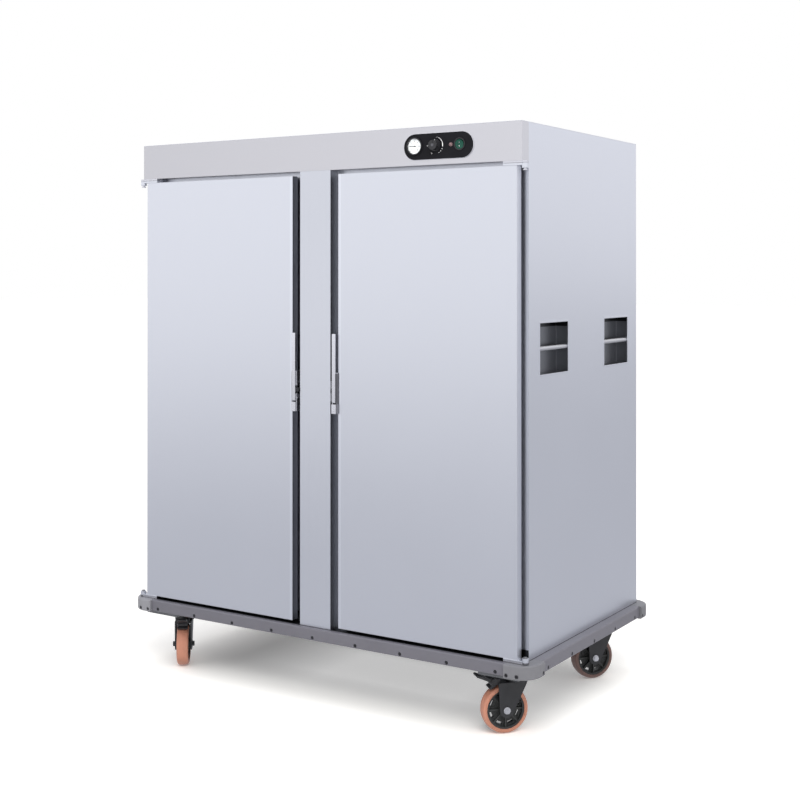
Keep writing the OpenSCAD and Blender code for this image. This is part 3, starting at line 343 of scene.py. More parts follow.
def chassis_looks():
    look("chassis", "chassis_steel",
         material("chassis_zinc", (0.16, 0.165, 0.175), 0.55, 0.6, vary=0.12, rough_vary=0.08, bump=0.15,
                  bump_scale=180.0, cloud=8.0, edge=0.001),
         "base_frame")
    look("bumper", "bumper",
         material("bumper_grey", (0.121, 0.118, 0.138), 0.42, vary=0.05, rough_vary=0.07, bump=0.10,
                  bump_scale=420.0, cloud=5.0, edge=0.0012),
         "bumper_rails")
    # the corner bumpers are lighter towards the left as painted light
    look("corner", "bumper",
         material("bumper_corner", (0.150, 0.150, 0.163), 0.50, vary=0.06, rough_vary=0.07, bump=0.14,
                  bump_scale=500.0, cloud=14.0, edge=0.0012, ramp=("X", -0.7, 0.7, 1.5, 0.95)),
         "bumper_corners")
    look("fork", "caster_black",
         material("fork_black", (0.022, 0.022, 0.024), 0.42, vary=0.15, rough_vary=0.1, bump=0.18,
                  bump_scale=520.0, cloud=30.0, edge=0.0012),
         "caster_plates", "caster_axle_front_left", *each("caster_fork_", CORNERS),
         *each("brake_pedal_", FRONT_CORNERS))
    look("zinc", "caster_bolt",
         material("bolt_zinc", (0.66, 0.66, 0.68), 0.33, 1.0, vary=0.06, rough_vary=0.08, bump=0.1,
                  bump_scale=800.0, cloud=60.0, edge=0.0006),
         "caster_axle_front_right", *each("caster_axle_", REAR_CORNERS))
    look("wheel", "wheel_centre",
         material("wheel_centre", (0.030, 0.031, 0.030), 0.50, vary=0.12, rough_vary=0.08, bump=0.12,
                  bump_scale=600.0, cloud=40.0, edge=0.001),
         *each("caster_rim_", CORNERS))
    look("tyre", "tyre_terracotta", tyre_rubber("tyre_terracotta", (0.46, 0.20, 0.130), 0.50, 0.08),
         *each("caster_tyre_", FRONT_CORNERS))
    # the rear tyres are the same rubber, coloured dark as painted shade under the cart
    look("painted_shade_tyre", "tyre_terracotta", tyre_rubber("tyre_painted_shade", (0.17, 0.10, 0.085), 0.55, 0.15),
         *each("caster_tyre_", REAR_CORNERS))
    look("seal", "black_plastic",
         material("nylon_grey", (0.36, 0.36, 0.35), 0.5, vary=0.06, bump=0.05, bump_scale=500.0, cloud=50.0))


def control_looks():
    look("plastic", "black_plastic",
         material("black_plastic", (0.012, 0.012, 0.014), 0.36, vary=0.1, rough_vary=0.06, bump=0.08,
                  bump_scale=900.0, cloud=30.0, edge=0.0006),
         "gauge_case", "gauge_pointer", "thermostat_knob", "switch_housing", "power_inlet")
    look("plate", "panel_black",
         material("panel_black", (0.010, 0.010, 0.012), 0.42, vary=0.1, rough_vary=0.05, bump=0.05,
                  bump_scale=1200.0, cloud=20.0, edge=0.0006, Specular_IOR_Level=0.06),
         "control_plate")
    look("dial", "dial_white",
         material("dial_white", (0.97, 0.97, 0.96), 0.55, vary=0.01, rough_vary=0.03, cloud=60.0),
         "gauge_dial")
    look("lens", "clear_lens",
         material("clear_lens", (0.97, 0.98, 0.98), 0.03, vary=0.0, rough_vary=0.01, cloud=20.0,
                  Transmission_Weight=1.0, IOR=1.1),
         "gauge_lens")
    look("print", "dial_white", printed("print_white", (0.80, 0.80, 0.80), 0.03))
    look("grey", "black_plastic", printed("print_grey", (0.20, 0.20, 0.21), 0.1))
    look("cap", "black_plastic", material("knob_cap", (0.10, 0.10, 0.11), 0.35, 0.6, vary=0.1, cloud=200.0))
    look("lamp", "lamp_red",
         material("lamp_red", (0.20, 0.13, 0.135), 0.30, vary=0.06, cloud=90.0, Specular_IOR_Level=0.3),
         "pilot_lamp")
    look("rocker", "rocker_green",
         material("rocker_green", (0.004, 0.052, 0.034), 0.26, vary=0.25, cloud=110.0,
                  Specular_IOR_Level=0.35),
         "switch_rocker")


def heating_looks():
    look("wool", "insulation",
         material("insulation_board", (0.52, 0.44, 0.22), 0.9, vary=0.16, bump=0.8, bump_scale=160.0,
                  stretch=(1, 1, 4), cloud=30.0),
         "wall_insulation")
    look("heater", "heater",
         material("heater_tube", (0.20, 0.18, 0.17), 0.45, 0.8, vary=0.2, rough_vary=0.1, bump=0.1,
                  bump_scale=500.0, cloud=40.0),
         "heater_elements")
    look("motor", "motor",
         material("motor_grey", (0.10, 0.10, 0.105), 0.5, 0.3, vary=0.12, bump=0.1, bump_scale=400.0,
                  cloud=30.0, edge=0.001),
         "fan_motors")
    look("cast", "aluminium_parts",
         material("fan_aluminium", (0.62, 0.63, 0.64), 0.42, 1.0, vary=0.05, bump=0.12, bump_scale=700.0,
                  cloud=40.0, edge=0.0006),
         "fan_rotor_left", "fan_rotor_right")


sheet_looks()
fitting_looks()
chassis_looks()
control_looks()
heating_looks()


# ---------------------------------------------------------------- mesh helpers

def finish_mesh(bm, name, mat, body, smooth=35):
    """Turns a bmesh into a piece that rides on a body, with creases kept where faces meet steeply."""
    bmesh.ops.recalc_face_normals(bm, faces=bm.faces)
    me = bpy.data.meshes.new(name)
    bm.to_mesh(me)
    bm.free()
    ob = bpy.data.objects.new(name, me)
    bpy.context.scene.collection.objects.link(ob)
    me.materials.append(mats[mat])
    me.shade_smooth()
    me.set_sharp_from_angle(angle=math.radians(smooth))
    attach(ob, body)
    return ob


def facing(direction):
    """Rotation that carries +Z to a direction."""
    return Vector(direction).to_track_quat("Z", "Y").to_matrix().to_4x4()


def spot(point, direction=FORWARD, turn=0.0):
    """Placement at a point in metres with +Z along direction, turned about it by an angle in degrees."""
    return Matrix.Translation(point) @ facing(direction) @ Matrix.Rotation(math.radians(turn), 4, "Z")


def circle(bm, place, r, h, steps):
    """New vertices round the Z axis, at radius r and height h."""
    return [bm.verts.new(place @ Vector((r * math.cos(a), r * math.sin(a), h)))
            for a in (2 * math.pi * i / steps for i in range(steps))]


def bridge(bm, rows, closed=False):
    """Joins closed rows of vertices by faces, and the last row to the first one when closed."""
    for k in range(len(rows) if closed else len(rows) - 1):
        p, q = rows[k], rows[(k + 1) % len(rows)]
        for i in range(len(p)):
            j = (i + 1) % len(p)
            bm.faces.new((p[i], p[j], q[j], q[i]))


def add_lathe(bm, profile, place, steps=24):
    """Adds a solid turned from (radius, height) points, the last of which may lie on the axis."""
    rows = [circle(bm, place, r, h, steps) for r, h in profile if r > 0]
    bridge(bm, rows)
    if profile[-1][0] > 0:
        bm.faces.new(rows[-1])
    else:
        tip = bm.verts.new(place @ Vector((0, 0, profile[-1][1])))
        for i in range(steps):
            bm.faces.new((rows[-1][i], rows[-1][(i + 1) % steps], tip))
    bm.faces.new(rows[0])


def add_ring(bm, place, profile, steps=40):
    """Adds a closed ring turned from a loop of (radius, height) points."""
    bridge(bm, [circle(bm, place, r, h, steps) for r, h in profile], closed=True)


def round_loop(r, h, size, n=8):
    """A small round section at radius r and height h."""
    return [(r + size * math.cos(a), h + size * math.sin(a)) for a in (2 * math.pi * i / n for i in range(n))]


def add_prism(bm, outline, depth, place):
    """Adds a plate: an outline in XY, extruded along Z by depth."""
    low = [bm.verts.new(place @ Vector((x, y, 0))) for x, y in outline]
    top = [bm.verts.new(place @ Vector((x, y, depth))) for x, y in outline]
    bm.faces.new(low)
    bm.faces.new(top)
    bridge(bm, [low, top])


def add_bar(bm, a, b, width, depth, up):
    """A straight bar from a to b, given its width, its depth and the direction of its face."""
    a, b = Vector(a), Vector(b)
    up = Vector(up).normalized()
    side = (b - a).normalized().cross(up).normalized()
    verts = []
    for p in (a, b):
        for u, v in ((-1, 0), (1, 0), (1, 1), (-1, 1)):
            verts.append(bm.verts.new(p + side * (u * width / 2) + up * (v * depth)))
    for f in ((0, 1, 2, 3), (7, 6, 5, 4), (0, 4, 5, 1), (1, 5, 6, 2), (2, 6, 7, 3), (3, 7, 4, 0)):
        bm.faces.new([verts[i] for i in f])


SCREW_STEPS = 24


def add_screw(bm, point, direction, r, turn=0.0, sunk=False):
    """A pan head screw with a cross recess, drawn as a dome ring round a sunken cross."""
    h = r * (0.25 if sunk else 0.62)
    place = spot(point, direction, turn)
    arm, half = r * 0.62, r * 0.13
    cross = []
    for k in range(4):
        quarter = Matrix.Rotation(k * math.pi / 2, 2)
        cross += [quarter @ Vector(p) for p in ((half, -half), (arm, -half), (arm, half))]
    profile = [(r, 0.0), (r, h * 0.35), (r * 0.93, h * 0.72), (r * 0.78, h)]
    rings = [circle(bm, place, q, z, SCREW_STEPS) for q, z in profile]
    bridge(bm, rings)
    rim = [bm.verts.new(place @ Vector((v.x, v.y, h))) for v in cross]
    floor = [bm.verts.new(place @ Vector((v.x * 0.8, v.y * 0.8, h * 0.3))) for v in cross]
    bridge(bm, [rim, floor])
    bm.faces.new(floor)
    edges = [bm.edges.get((row[i], row[(i + 1) % len(row)])) for row in (rings[-1], rim)
             for i in range(len(row))]
    bmesh.ops.triangle_fill(bm, use_beauty=True, edges=edges)


def screw_run(name, places, r, mat, body, sunk=True):
    """A piece made of screws at (point, direction) places."""
    bm = bmesh.new()
    for point, direction in places:
        add_screw(bm, point, direction, r, random.uniform(0, 90), sunk)
    finish_mesh(bm, name, mat, body)


# ---------------------------------------------------------------- camera, light and floor

VIEW_TURN, VIEW_TILT = 32.51, -0.32        # degrees
VIEW_FROM = (2377.5, -3254.1, 1320.0)      # mm, like the cart
VIEW_LENS, VIEW_SENSOR = 59.06, 36.0
VIEW_SHIFT = (0.0016, -0.170)


def make_camera():
    """The photograph's viewpoint, found from the cabinet's edges."""
    az, pitch = math.radians(VIEW_TURN), math.radians(VIEW_TILT)
    right = Vector((math.cos(az), math.sin(az), 0))
    ahead = Vector((-math.sin(az) * math.cos(pitch), math.cos(az) * math.cos(pitch), -math.sin(pitch)))
    up = right.cross(ahead)
    data = bpy.data.cameras.new("camera")
    data.lens = VIEW_LENS
    data.sensor_width = VIEW_SENSOR
    data.shift_x, data.shift_y = VIEW_SHIFT
    cam = bpy.data.objects.new("camera", data)
    turn = Matrix((right, up, -ahead)).transposed().to_4x4()
    cam.matrix_world = Matrix.Translation(at(*VIEW_FROM)) @ turn
    bpy.context.scene.collection.objects.link(cam)
    bpy.context.scene.camera = cam


def area_light(name, where, target, size, power):
    """A soft white lamp that isn't mirrored in the steel."""
    data = bpy.data.lights.new(name, "AREA")
    data.shape = "RECTANGLE"
    data.size, data.size_y = size
    data.energy = power
    ob = bpy.data.objects.new(name, data)
    aim = (Vector(target) - Vector(where)).to_track_quat("-Z", "Y")
    ob.matrix_world = Matrix.Translation(where) @ aim.to_matrix().to_4x4()
    ob.visible_glossy = False
    bpy.context.scene.collection.objects.link(ob)


def make_world():
    """White for the camera, a soft studio gradient for everything else."""
    world = bpy.data.worlds.new("studio")
    bpy.context.scene.world = world
    world.use_nodes = True
    s = Shader(world.node_tree)
    out = s.add("ShaderNodeOutputWorld")
    way = s.add("ShaderNodeSeparateXYZ", Vector=s.add("ShaderNodeTexCoord").outputs["Generated"])
    height = way.outputs["Z"]
    back = s.span(way.outputs["Y"], -0.4, 0.4, 0.0, 1.0)
    low = s.mix(back, (1.15, 1.16, 1.20, 1), (1.00, 1.01, 1.06, 1))
    mirrored = s.mix(s.span(height, 0.05, 0.6, 0.0, 1.0), low, (1.16, 1.17, 1.21, 1))
    lamp = s.mix(s.span(height, -0.05, 0.65, 0.0, 1.0), (0.30, 0.30, 0.31, 1), (1.05, 1.05, 1.08, 1))
    path = s.add("ShaderNodeLightPath")
    tone = s.mix(path.outputs["Is Glossy Ray"], lamp, mirrored)
    glow = s.add("ShaderNodeBackground", Color=tone, Strength=1.0)
    white = s.add("ShaderNodeBackground", Color=(1, 1, 1, 1), Strength=1.0)
    s.plug(s.choose(path.outputs["Is Camera Ray"], glow, white), out.inputs[0])


FLOOR_HALF = 45.0
FLOOR_DROP = 0.0003


def floor_material():
    """Pale, with a painted glow that lightens its shadow under the front of the cart.

    In the steel it is mirrored as mid grey near the cart and as white far in front of it."""
    m = bpy.data.materials.new("floor")
    m.use_nodes = True
    s = Shader(m.node_tree)
    out = s.add("ShaderNodeOutputMaterial")
    seen = s.add("ShaderNodeBsdfDiffuse", Color=(1.0, 0.985, 0.945, 1))
    x, y = s.along("X"), s.along("Y")
    # painted light: a glow that brightens the floor under the front of the cart
    under = s.product(s.span(x, -0.50, -0.15, 0.0, 1.0), s.span(x, 0.35, 0.65, 1.0, 0.3),
                      s.span(y, 0.08, 0.38, 1.0, 0.0), s.span(y, -0.35, -0.15, 0.0, 1.0))
    painted_glow = s.add("ShaderNodeEmission", Color=(1, 1, 1, 1), Strength=s.span(under, 0.0, 1.0, 0.12, 0.45))
    both = s.add("ShaderNodeAddShader")
    s.plug(seen.outputs[0], both.inputs[0])
    s.plug(painted_glow.outputs[0], both.inputs[1])
    far = s.add("ShaderNodeVectorMath", operation="LENGTH")
    s.plug(s.coords(), far.inputs[0])
    reach = s.product(s.span(far.outputs["Value"], 3.6, 14.0, 0.0, 1.0), s.span(y, -1.5, 1.5, 1.0, 0.0))
    tone = s.mix(reach, (0.590, 0.602, 0.650, 1), (1.12, 1.13, 1.17, 1))
    mirrored = s.add("ShaderNodeEmission", Color=tone, Strength=1.0)
    path = s.add("ShaderNodeLightPath")
    s.plug(s.choose(path.outputs["Is Glossy Ray"], both, mirrored), out.inputs[0])
    return m


def make_floor():
    """A wide floor that keeps the soft shadow."""
    bm = bmesh.new()
    bmesh.ops.create_grid(bm, x_segments=8, y_segments=8, size=FLOOR_HALF)
    me = bpy.data.meshes.new("floor")
    bm.to_mesh(me)
    bm.free()
    floor = bpy.data.objects.new("floor", me)
    floor.location = (0, 0, -FLOOR_DROP)
    bpy.context.scene.collection.objects.link(floor)
    me.materials.append(floor_material())


make_camera()
make_world()
make_floor()
area_light("overhead", (0.2, -0.6, 4.2), (0, 0, 0.8), (3.5, 3.0), 50)
area_light("front", (2.6, -3.2, 3.8), (0.1, -0.4, 0.2), (3.4, 1.8), 150)
bpy.context.scene.view_settings.view_transform = "Standard"
bpy.context.scene.view_settings.look = "None"


# ---------------------------------------------------------------- bumper screws

BUMPER_SCREW_R = 0.0047
SCREW_PITCH = 158                                      # along the rails, in mm
RAIL_FRONT, RAIL_BACK, RAIL_SIDE, RAIL_Z = -11.6, 846.6, 736.6, 202.0
CORNER_FRONT, CORNER_BACK, CORNER_SIDE, CORNER_Z = -18.6, 853.6, 744.6, 200.0
CORNER_SCREWS_X, CORNER_SCREWS_Y = (670, 702), (55, 780)


def bumper_screws():
    """Dark pan head screws, sunk in the counterbores of the bumper rails and the corner bumpers."""
    rail, corner = [], []
    for k in range(-4, 5):
        x = SCREW_PITCH * k
        rail += [(at(x, RAIL_FRONT, RAIL_Z), FORWARD), (at(x, RAIL_BACK, RAIL_Z), BACKWARD)]
    for s in SIDES:
        for k in range(-2, 3):
            rail.append((at(s * RAIL_SIDE, DEPTH_MID + SCREW_PITCH * k, RAIL_Z), (s, 0, 0)))
    screw_run("bumper_rail_screws", rail, BUMPER_SCREW_R, "screw", "cabinet", False)
    for s in SIDES:
        for x in CORNER_SCREWS_X:
            corner.append((at(s * x, CORNER_FRONT, CORNER_Z), FORWARD))
            corner.append((at(s * x, CORNER_BACK, CORNER_Z), BACKWARD))
        for y in CORNER_SCREWS_Y:
            corner.append((at(s * CORNER_SIDE, y, CORNER_Z), (s, 0, 0)))
    screw_run("bumper_corner_screws", corner, BUMPER_SCREW_R, "screw", "cabinet", False)


bumper_screws()


# ---------------------------------------------------------------- control panel details

PRINT_T = 0.0002           # thickness of a print, in metres


def stadium(w, h, n=20):
    """A rectangle with round ends."""
    r = h / 2
    pts = [((w / 2 - r) + r * math.cos(a), r * math.sin(a))
           for a in (math.radians(-90 + 180 * i / n) for i in range(n + 1))]
    return pts + [(-x, -y) for x, y in pts]


RIM_OUTER, RIM_INNER = (0.2345, 0.0775), (0.2322, 0.0752)      # width and height of its two edges
RIM_SIDE, RIM_FACE = 0.0022, 0.0026                            # how far they stand out


def plate_rim():
    """A thin bright edging round the black plate."""
    bm = bmesh.new()
    place = spot(at(PANEL_X, 0, PANEL_Z))
    outer = stadium(*RIM_OUTER)
    inner = stadium(*RIM_INNER)
    rows = []
    for pts, z in ((outer, 0.0), (outer, RIM_SIDE), (inner, RIM_FACE), (inner, 0.0)):
        rows.append([bm.verts.new(place @ Vector((x, y, z))) for x, y in pts])
    bridge(bm, rows, closed=True)
    finish_mesh(bm, "control_plate_edging", "bright", "cabinet")


def clock(angle):
    """The direction on the cart's front at an angle clockwise from the top, in degrees."""
    a = math.radians(90 - angle)
    return Vector((math.cos(a), 0, math.sin(a)))


def add_arc(bm, place, start, end, depth, steps):
    """A flat band along an arc; start and end are (angle clockwise from the top, inner r, outer r)."""
    inner, outer = [], []
    for i in range(steps + 1):
        angle, ri, ro = (p + (q - p) * i / steps for p, q in zip(start, end))
        a = math.radians(90 - angle)
        inner.append((ri * math.cos(a), ri * math.sin(a)))
        outer.append((ro * math.cos(a), ro * math.sin(a)))
    add_prism(bm, inner + outer[::-1], depth, place)


def number_mesh(text, name, where, height):
    """A flat printed number that faces the front, turned into a mesh."""
    cu = bpy.data.curves.new(name, "FONT")
    cu.body = text
    cu.size = height
    cu.align_x = "CENTER"
    cu.align_y = "CENTER"
    cu.extrude = PRINT_T / 2
    cu.resolution_u = 3
    tmp = bpy.data.objects.new(name + "_tmp", cu)
    bpy.context.scene.collection.objects.link(tmp)
    bpy.context.view_layer.update()
    me = bpy.data.meshes.new_from_object(tmp)
    bpy.data.objects.remove(tmp)
    bpy.data.curves.remove(cu)
    me.transform(Matrix.Translation(where) @ Matrix.Rotation(math.radians(90), 4, "X"))
    return me


def numbers(entries, name, height, mat, body):
    """Several printed numbers joined into one piece: entries are (text, place)."""
    bm = bmesh.new()
    for i, (text, where) in enumerate(entries):
        me = number_mesh(text, f"{name}_{i}", where, height)
        bm.from_mesh(me)
        bpy.data.meshes.remove(me)
    finish_mesh(bm, name, mat, body)


GAUGE_START, GAUGE_SWEEP = -135, 270       # degrees
GAUGE_TICKS, TICKS_PER_NUMBER = 24, 4
NUMBER_STEP = 20           # from one number on the dial to the next
LONG_TICK, SHORT_TICK = (0.0176, 0.0005), (0.0190, 0.0003)     # inner end and width
TICK_END, TICK_T = 0.0206, 0.00012
GAUGE_NUMBER_R, GAUGE_NUMBER_SIZE = 0.0146, 0.0036
DIAL_FACE = -5.02          # mm; print lies just proud of the faces it is on


def gauge_print():
    """Ticks and plain numbers on the thermometer's dial."""
    face = at(GAUGE_X, DIAL_FACE, DIAL_Z)
    bm = bmesh.new()
    for k in range(GAUGE_TICKS + 1):
        d = clock(GAUGE_START + GAUGE_SWEEP * k / GAUGE_TICKS)
        r0, width = LONG_TICK if k % TICKS_PER_NUMBER == 0 else SHORT_TICK
        add_bar(bm, face + d * r0, face + d * TICK_END, width, TICK_T, FORWARD)
    finish_mesh(bm, "gauge_ticks", "grey", "cabinet")
    entries = []
    for k in range(GAUGE_TICKS // TICKS_PER_NUMBER + 1):
        d = clock(GAUGE_START + GAUGE_SWEEP * k * TICKS_PER_NUMBER / GAUGE_TICKS)
        where = face + d * GAUGE_NUMBER_R + Vector((0, -0.0001, 0))
        entries.append((str(NUMBER_STEP * k), where))
    numbers(entries, "gauge_numbers", GAUGE_NUMBER_SIZE, "grey", "cabinet")


PLATE_FACE, NUMBER_FACE = -3.02, -3.1      # mm; the second is the middle of a number's thickness
KNOB_FACE, CAP_FACE = -7.58, -21.58        # mm
SCALE_FROM, SCALE_TO = (5, 0.0238, 0.0240), (100, 0.0226, 0.0252)      # as add_arc takes them
DOT_ANGLES, DOT_RING = (116, 134, 152), 0.0243
DOT_R, DOT_SHRINK = 0.0012, 0.00015
KNOB_NUMBERS = (("30", -150), ("60", -90))     # text and angle clockwise from the top
KNOB_NUMBER_R, KNOB_NUMBER_SIZE = 0.0262, 0.0046


def knob_print():
    """The thermostat's scale, its dots and plain numbers, printed on the plate."""
    centre = at(KNOB_X, PLATE_FACE, DIAL_Z)
    bm = bmesh.new()
    flat = Matrix.Translation(centre) @ Matrix.Rotation(math.radians(90), 4, "X")
    add_arc(bm, flat, SCALE_FROM, SCALE_TO, PRINT_T, 36)
    for k, angle in enumerate(DOT_ANGLES):
        r = DOT_R - DOT_SHRINK * k
        add_lathe(bm, [(r, 0), (r, PRINT_T), (0, PRINT_T)], spot(centre + clock(angle) * DOT_RING), 14)
    finish_mesh(bm, "thermostat_scale", "print", "cabinet")
    entries = [(label, at(KNOB_X, NUMBER_FACE, DIAL_Z) + clock(angle) * KNOB_NUMBER_R)
               for label, angle in KNOB_NUMBERS]
    numbers(entries, "thermostat_numbers", KNOB_NUMBER_SIZE, "print", "cabinet")


def knob_details():
    """A cap and an index line on the thermostat knob."""
    bm = bmesh.new()
    profile = [(0.0048, 0), (0.0048, 0.0005), (0.0043, 0.0009), (0, 0.0011)]
    add_lathe(bm, profile, spot(at(KNOB_X, CAP_FACE, DIAL_Z)), 32)
    finish_mesh(bm, "thermostat_cap", "cap", "knob")
    bm = bmesh.new()
    base = at(KNOB_X, KNOB_FACE, DIAL_Z)
    add_bar(bm, base + Vector((0, 0, 0.0148)), base + Vector((0, 0, 0.0168)), 0.0011, PRINT_T, FORWARD)
    finish_mesh(bm, "thermostat_index", "print", "knob")


ROCKER_TILT = 8            # degrees, at rest
MARK_T = 0.00015


def switch_marks():
    """The plain on and off marks on the two slopes of the rocker."""
    bm = bmesh.new()
    tilt = Matrix.Translation(at(SWITCH_X, 1, DIAL_Z)) @ Matrix.Rotation(math.radians(ROCKER_TILT), 4, "X")
    slope = math.atan2(1.0, 10.0)
    up = tilt @ Matrix.Translation((0, -0.00712, 0.0052)) @ Matrix.Rotation(-slope, 4, "X")
    low = tilt @ Matrix.Translation((0, -0.00712, -0.0052)) @ Matrix.Rotation(slope, 4, "X")
    a, b = up @ Vector((0, 0, -0.0016)), up @ Vector((0, 0, 0.0016))
    add_bar(bm, a, b, 0.0006, MARK_T, up.to_3x3() @ Vector(FORWARD))
    flat = low @ Matrix.Rotation(math.radians(90), 4, "X")
    add_arc(bm, flat, (0, 0.0011, 0.0017), (359.9, 0.0011, 0.0017), MARK_T, 24)
    finish_mesh(bm, "switch_marks", "print", "rocker")


plate_rim()
gauge_print()
knob_print()
knob_details()
switch_marks()


# ---------------------------------------------------------------- casters

def caster_place(corner):
    """Placement of a caster: the origin on the floor under its swivel axis, +X towards the wheel."""
    x, y, turn = CASTER_AT[corner]
    return Matrix.Translation(at(x, y, 0)) @ Matrix.Rotation(math.radians(turn), 4, "Z")


def both_ends(axle):
    """The placement of an axle, turned round and as it is."""
    return axle @ Matrix.Rotation(math.pi, 4, "X"), axle


def ring_piece(name, mat, body, places, profiles):
    """A piece made of rings: each (profile, steps) at each place."""
    bm = bmesh.new()
    for place in places:
        for profile, steps in profiles:
            add_ring(bm, place, profile, steps)
    finish_mesh(bm, name, mat, body)


DUST_RING = [(0.0296, 0.1590), (0.0345, 0.1590), (0.0350, 0.1610),
             (0.0335, 0.1670), (0.0314, 0.1670), (0.0314, 0.1609), (0.0288, 0.1609)]
WASHER = [(0.0095, 0.0281), (0.0128, 0.0281), (0.0128, 0.0290), (0.0095, 0.0290)]
WHEEL_WEB = [(0.0270, -0.0035), (0.0395, -0.0035), (0.0395, 0.0035), (0.0270, 0.0035)]
RIM_LIP = round_loop(0.0533, 0.0170, 0.0009)
HUB_LIP = round_loop(0.0268, 0.0062, 0.0008)
TYRE_BEADS = round_loop(0.0578, 0.0184, 0.0006), round_loop(0.0606, 0.0190, 0.0004)


TREAD_RISE, TREAD_RUN = 6.0, 16.0          # slope of the pedal's tread
TREAD_X, TREAD_Z = 0.106, 0.1660           # where the slope begins
PEDAL_RIB_X, PEDAL_RIB_PITCH, PEDAL_RIB_HALF = 0.1085, 0.0028, 0.0145
PEDAL_RIB_SUNK = 0.0001


def pedal_ribs(corner, place):
    """Five ribs across the sloping tread of a brake pedal."""
    bm = bmesh.new()
    slope = math.atan2(TREAD_RISE, TREAD_RUN)
    up = place.to_3x3() @ Vector((-math.sin(slope), 0, math.cos(slope)))
    for k in range(5):
        x = PEDAL_RIB_X + PEDAL_RIB_PITCH * k
        z = TREAD_Z + (x - TREAD_X) * math.tan(slope) - PEDAL_RIB_SUNK
        a, b = (place @ Vector((x, y, z)) for y in (-PEDAL_RIB_HALF, PEDAL_RIB_HALF))
        add_bar(bm, a, b, 0.0013, 0.0008, up)
    finish_mesh(bm, f"pedal_ribs_{corner}", "fork", "pedal_" + corner)


def caster_details(corner):
    """The dust ring, washers, wheel web, lips, tyre beads and pedal ribs of one caster."""
    front = corner in FRONT_CORNERS
    place = caster_place(corner)
    swivel, wheel = "swivel_" + corner, "wheel_" + corner
    axle = place @ Matrix.Translation((TRAIL, 0, WHEEL_R)) @ Matrix.Rotation(math.radians(-90), 4, "X")
    ends = both_ends(axle)
    ring_piece(f"caster_dust_ring_{corner}", "seal", swivel, [place], [(DUST_RING, 40)])
    ring_piece(f"caster_washers_{corner}", "fork", swivel, ends, [(WASHER, 32)])
    ring_piece(f"wheel_web_{corner}", "wheel", wheel, [axle], [(WHEEL_WEB, 48)])
    ring_piece(f"wheel_rim_lips_{corner}", "wheel", wheel, ends, [(RIM_LIP, 56), (HUB_LIP, 40)])
    # the rear tyres' beads share the rear tyres' painted shade
    ring_piece(f"tyre_side_beads_{corner}", "tyre" if front else "painted_shade_tyre", wheel, ends,
               [(bead, 56) for bead in TYRE_BEADS])
    if front:
        pedal_ribs(corner, place)


for corner in CORNERS:
    caster_details(corner)


# ---------------------------------------------------------------- screws and small fittings

BACK_FACE = 820.05         # mm; a screw sits 0.05 mm proud of its sheet, so the faces don't coincide
INLET_FACE, INLET_Z = 823.0, 330
COVER_FACE, COVER_Z, COVER_SCREW = 715.95, 426, 118
TOP_SPACE = 60             # mm left free above the top tray level
BACK_LAST_X, BACK_PITCH_X, BACK_ROWS_Z = 660, 165, (252, 1722)
BACK_EDGE_X, BACK_Z0, BACK_Z1, BACK_PITCH_Z = 690, 430, 1700, 180
INLET_SCREW = 29.5
RUNNER_SCREWS_Y, RUNNER_DROP, RUNNER_WALL = (110, 380, 660), 7.5, 1.55
STRIKE_FACE, STRIKE_Y, STRIKE_SCREWS_Z = 58.0, 18, (933.5, 977.5)


def back_screws():
    back = []
    for x in range(-BACK_LAST_X, BACK_LAST_X + 1, BACK_PITCH_X):
        back += [(at(x, BACK_FACE, z), BACKWARD) for z in BACK_ROWS_Z]
    for z in range(BACK_Z0, BACK_Z1, BACK_PITCH_Z):
        back += [(at(s * BACK_EDGE_X, BACK_FACE, z), BACKWARD) for s in SIDES]
    screw_run("back_panel_screws", back, 0.0040, "bright", "cabinet", False)
    inlet = [(at(s * INLET_SCREW, INLET_FACE, INLET_Z), BACKWARD) for s in SIDES]
    screw_run("mains_inlet_screws", inlet, 0.0030, "bright", "cabinet")


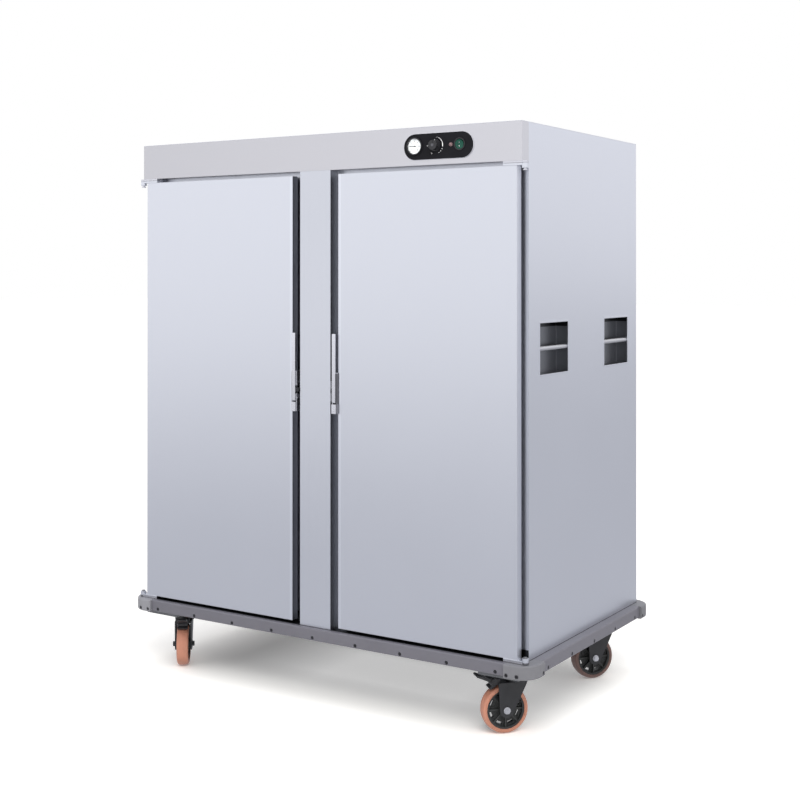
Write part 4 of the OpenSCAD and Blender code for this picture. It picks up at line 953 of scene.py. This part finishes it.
def inner_screws():
    runners, covers = [], []
    pitch = (WAY_Z1 - WAY_Z0 - TOP_SPACE) / LEVELS
    for s in SIDES:
        for k in range(1, LEVELS + 1):
            for y in RUNNER_SCREWS_Y:
                z = WAY_Z0 + k * pitch - RUNNER_DROP
                runners.append((at(s * (WAY_X0 + RUNNER_WALL), y, z), (s, 0, 0)))
                runners.append((at(s * (WAY_X1 - RUNNER_WALL), y, z), (-s, 0, 0)))
        for dx in (-COVER_SCREW, COVER_SCREW):
            for dz in (-COVER_SCREW, COVER_SCREW):
                covers.append((at(s * WAY_MID + dx, COVER_FACE, COVER_Z + dz), FORWARD))
    screw_run("runner_screws", runners, 0.0034, "bright", "cabinet")
    screw_run("heater_cover_screws", covers, 0.0038, "bright", "cabinet", False)
    strikes = [(at(s * STRIKE_FACE, STRIKE_Y, z), (s, 0, 0)) for s in SIDES for z in STRIKE_SCREWS_Z]
    screw_run("strike_screws", strikes, 0.0030, "bright", "cabinet")


LINER_FACE = 26.05         # mm behind the door faces
LINER_INSET = 6.6          # mm from the edges of the door
LINER_FIRST_Z, LINER_PITCH_Z = 70, 205
LINER_X0, LINER_X1, LINER_PITCH_X = 160, 680, 152


def door_screws(side, s):
    places = []
    for z in range(int(DOOR_Z0) + LINER_FIRST_Z, int(DOOR_Z1), LINER_PITCH_Z):
        for x in (DOOR_X0 + LINER_INSET, DOOR_X1 - LINER_INSET):
            places.append((at(s * x, LINER_FACE, z), BACKWARD))
    for x in range(LINER_X0, LINER_X1, LINER_PITCH_X):
        for z in (DOOR_Z0 + LINER_INSET, DOOR_Z1 - LINER_INSET):
            places.append((at(s * x, LINER_FACE, z), BACKWARD))
    screw_run("door_liner_screws_" + side, places, 0.0030, "bright", "door_" + side)


FOOT_RIB_X0, FOOT_RIB_X1, FOOT_RIB_FACE = 69.8, 82.4, -9.98
FOOT_RIB_Z, FOOT_RIB_PITCH = 896.0, 6.2


def handle_details(side, s):
    """Three ribs on the foot of the handle, and the head of the lever's pin."""
    bm = bmesh.new()
    for k in range(3):
        z = FOOT_RIB_Z + FOOT_RIB_PITCH * k
        a, b = (at(s * x, FOOT_RIB_FACE, z) for x in (FOOT_RIB_X0, FOOT_RIB_X1))
        add_bar(bm, a, b, 0.0014, 0.00035, FORWARD)
    finish_mesh(bm, "handle_foot_ribs_" + side, "bright", "door_" + side)
    bm = bmesh.new()
    profile = [(0.0032, 0), (0.0032, 0.0004), (0.0024, 0.0010), (0, 0.0013)]
    add_lathe(bm, profile, spot(at(s * 66.9, -1, HANDLE_PIN_Z), (-s, 0, 0)), 20)
    finish_mesh(bm, "handle_pin_head_" + side, "zinc", "door_" + side)


back_screws()
inner_screws()
for side, s in (("left", -1), ("right", 1)):
    door_screws(side, s)
    handle_details(side, s)
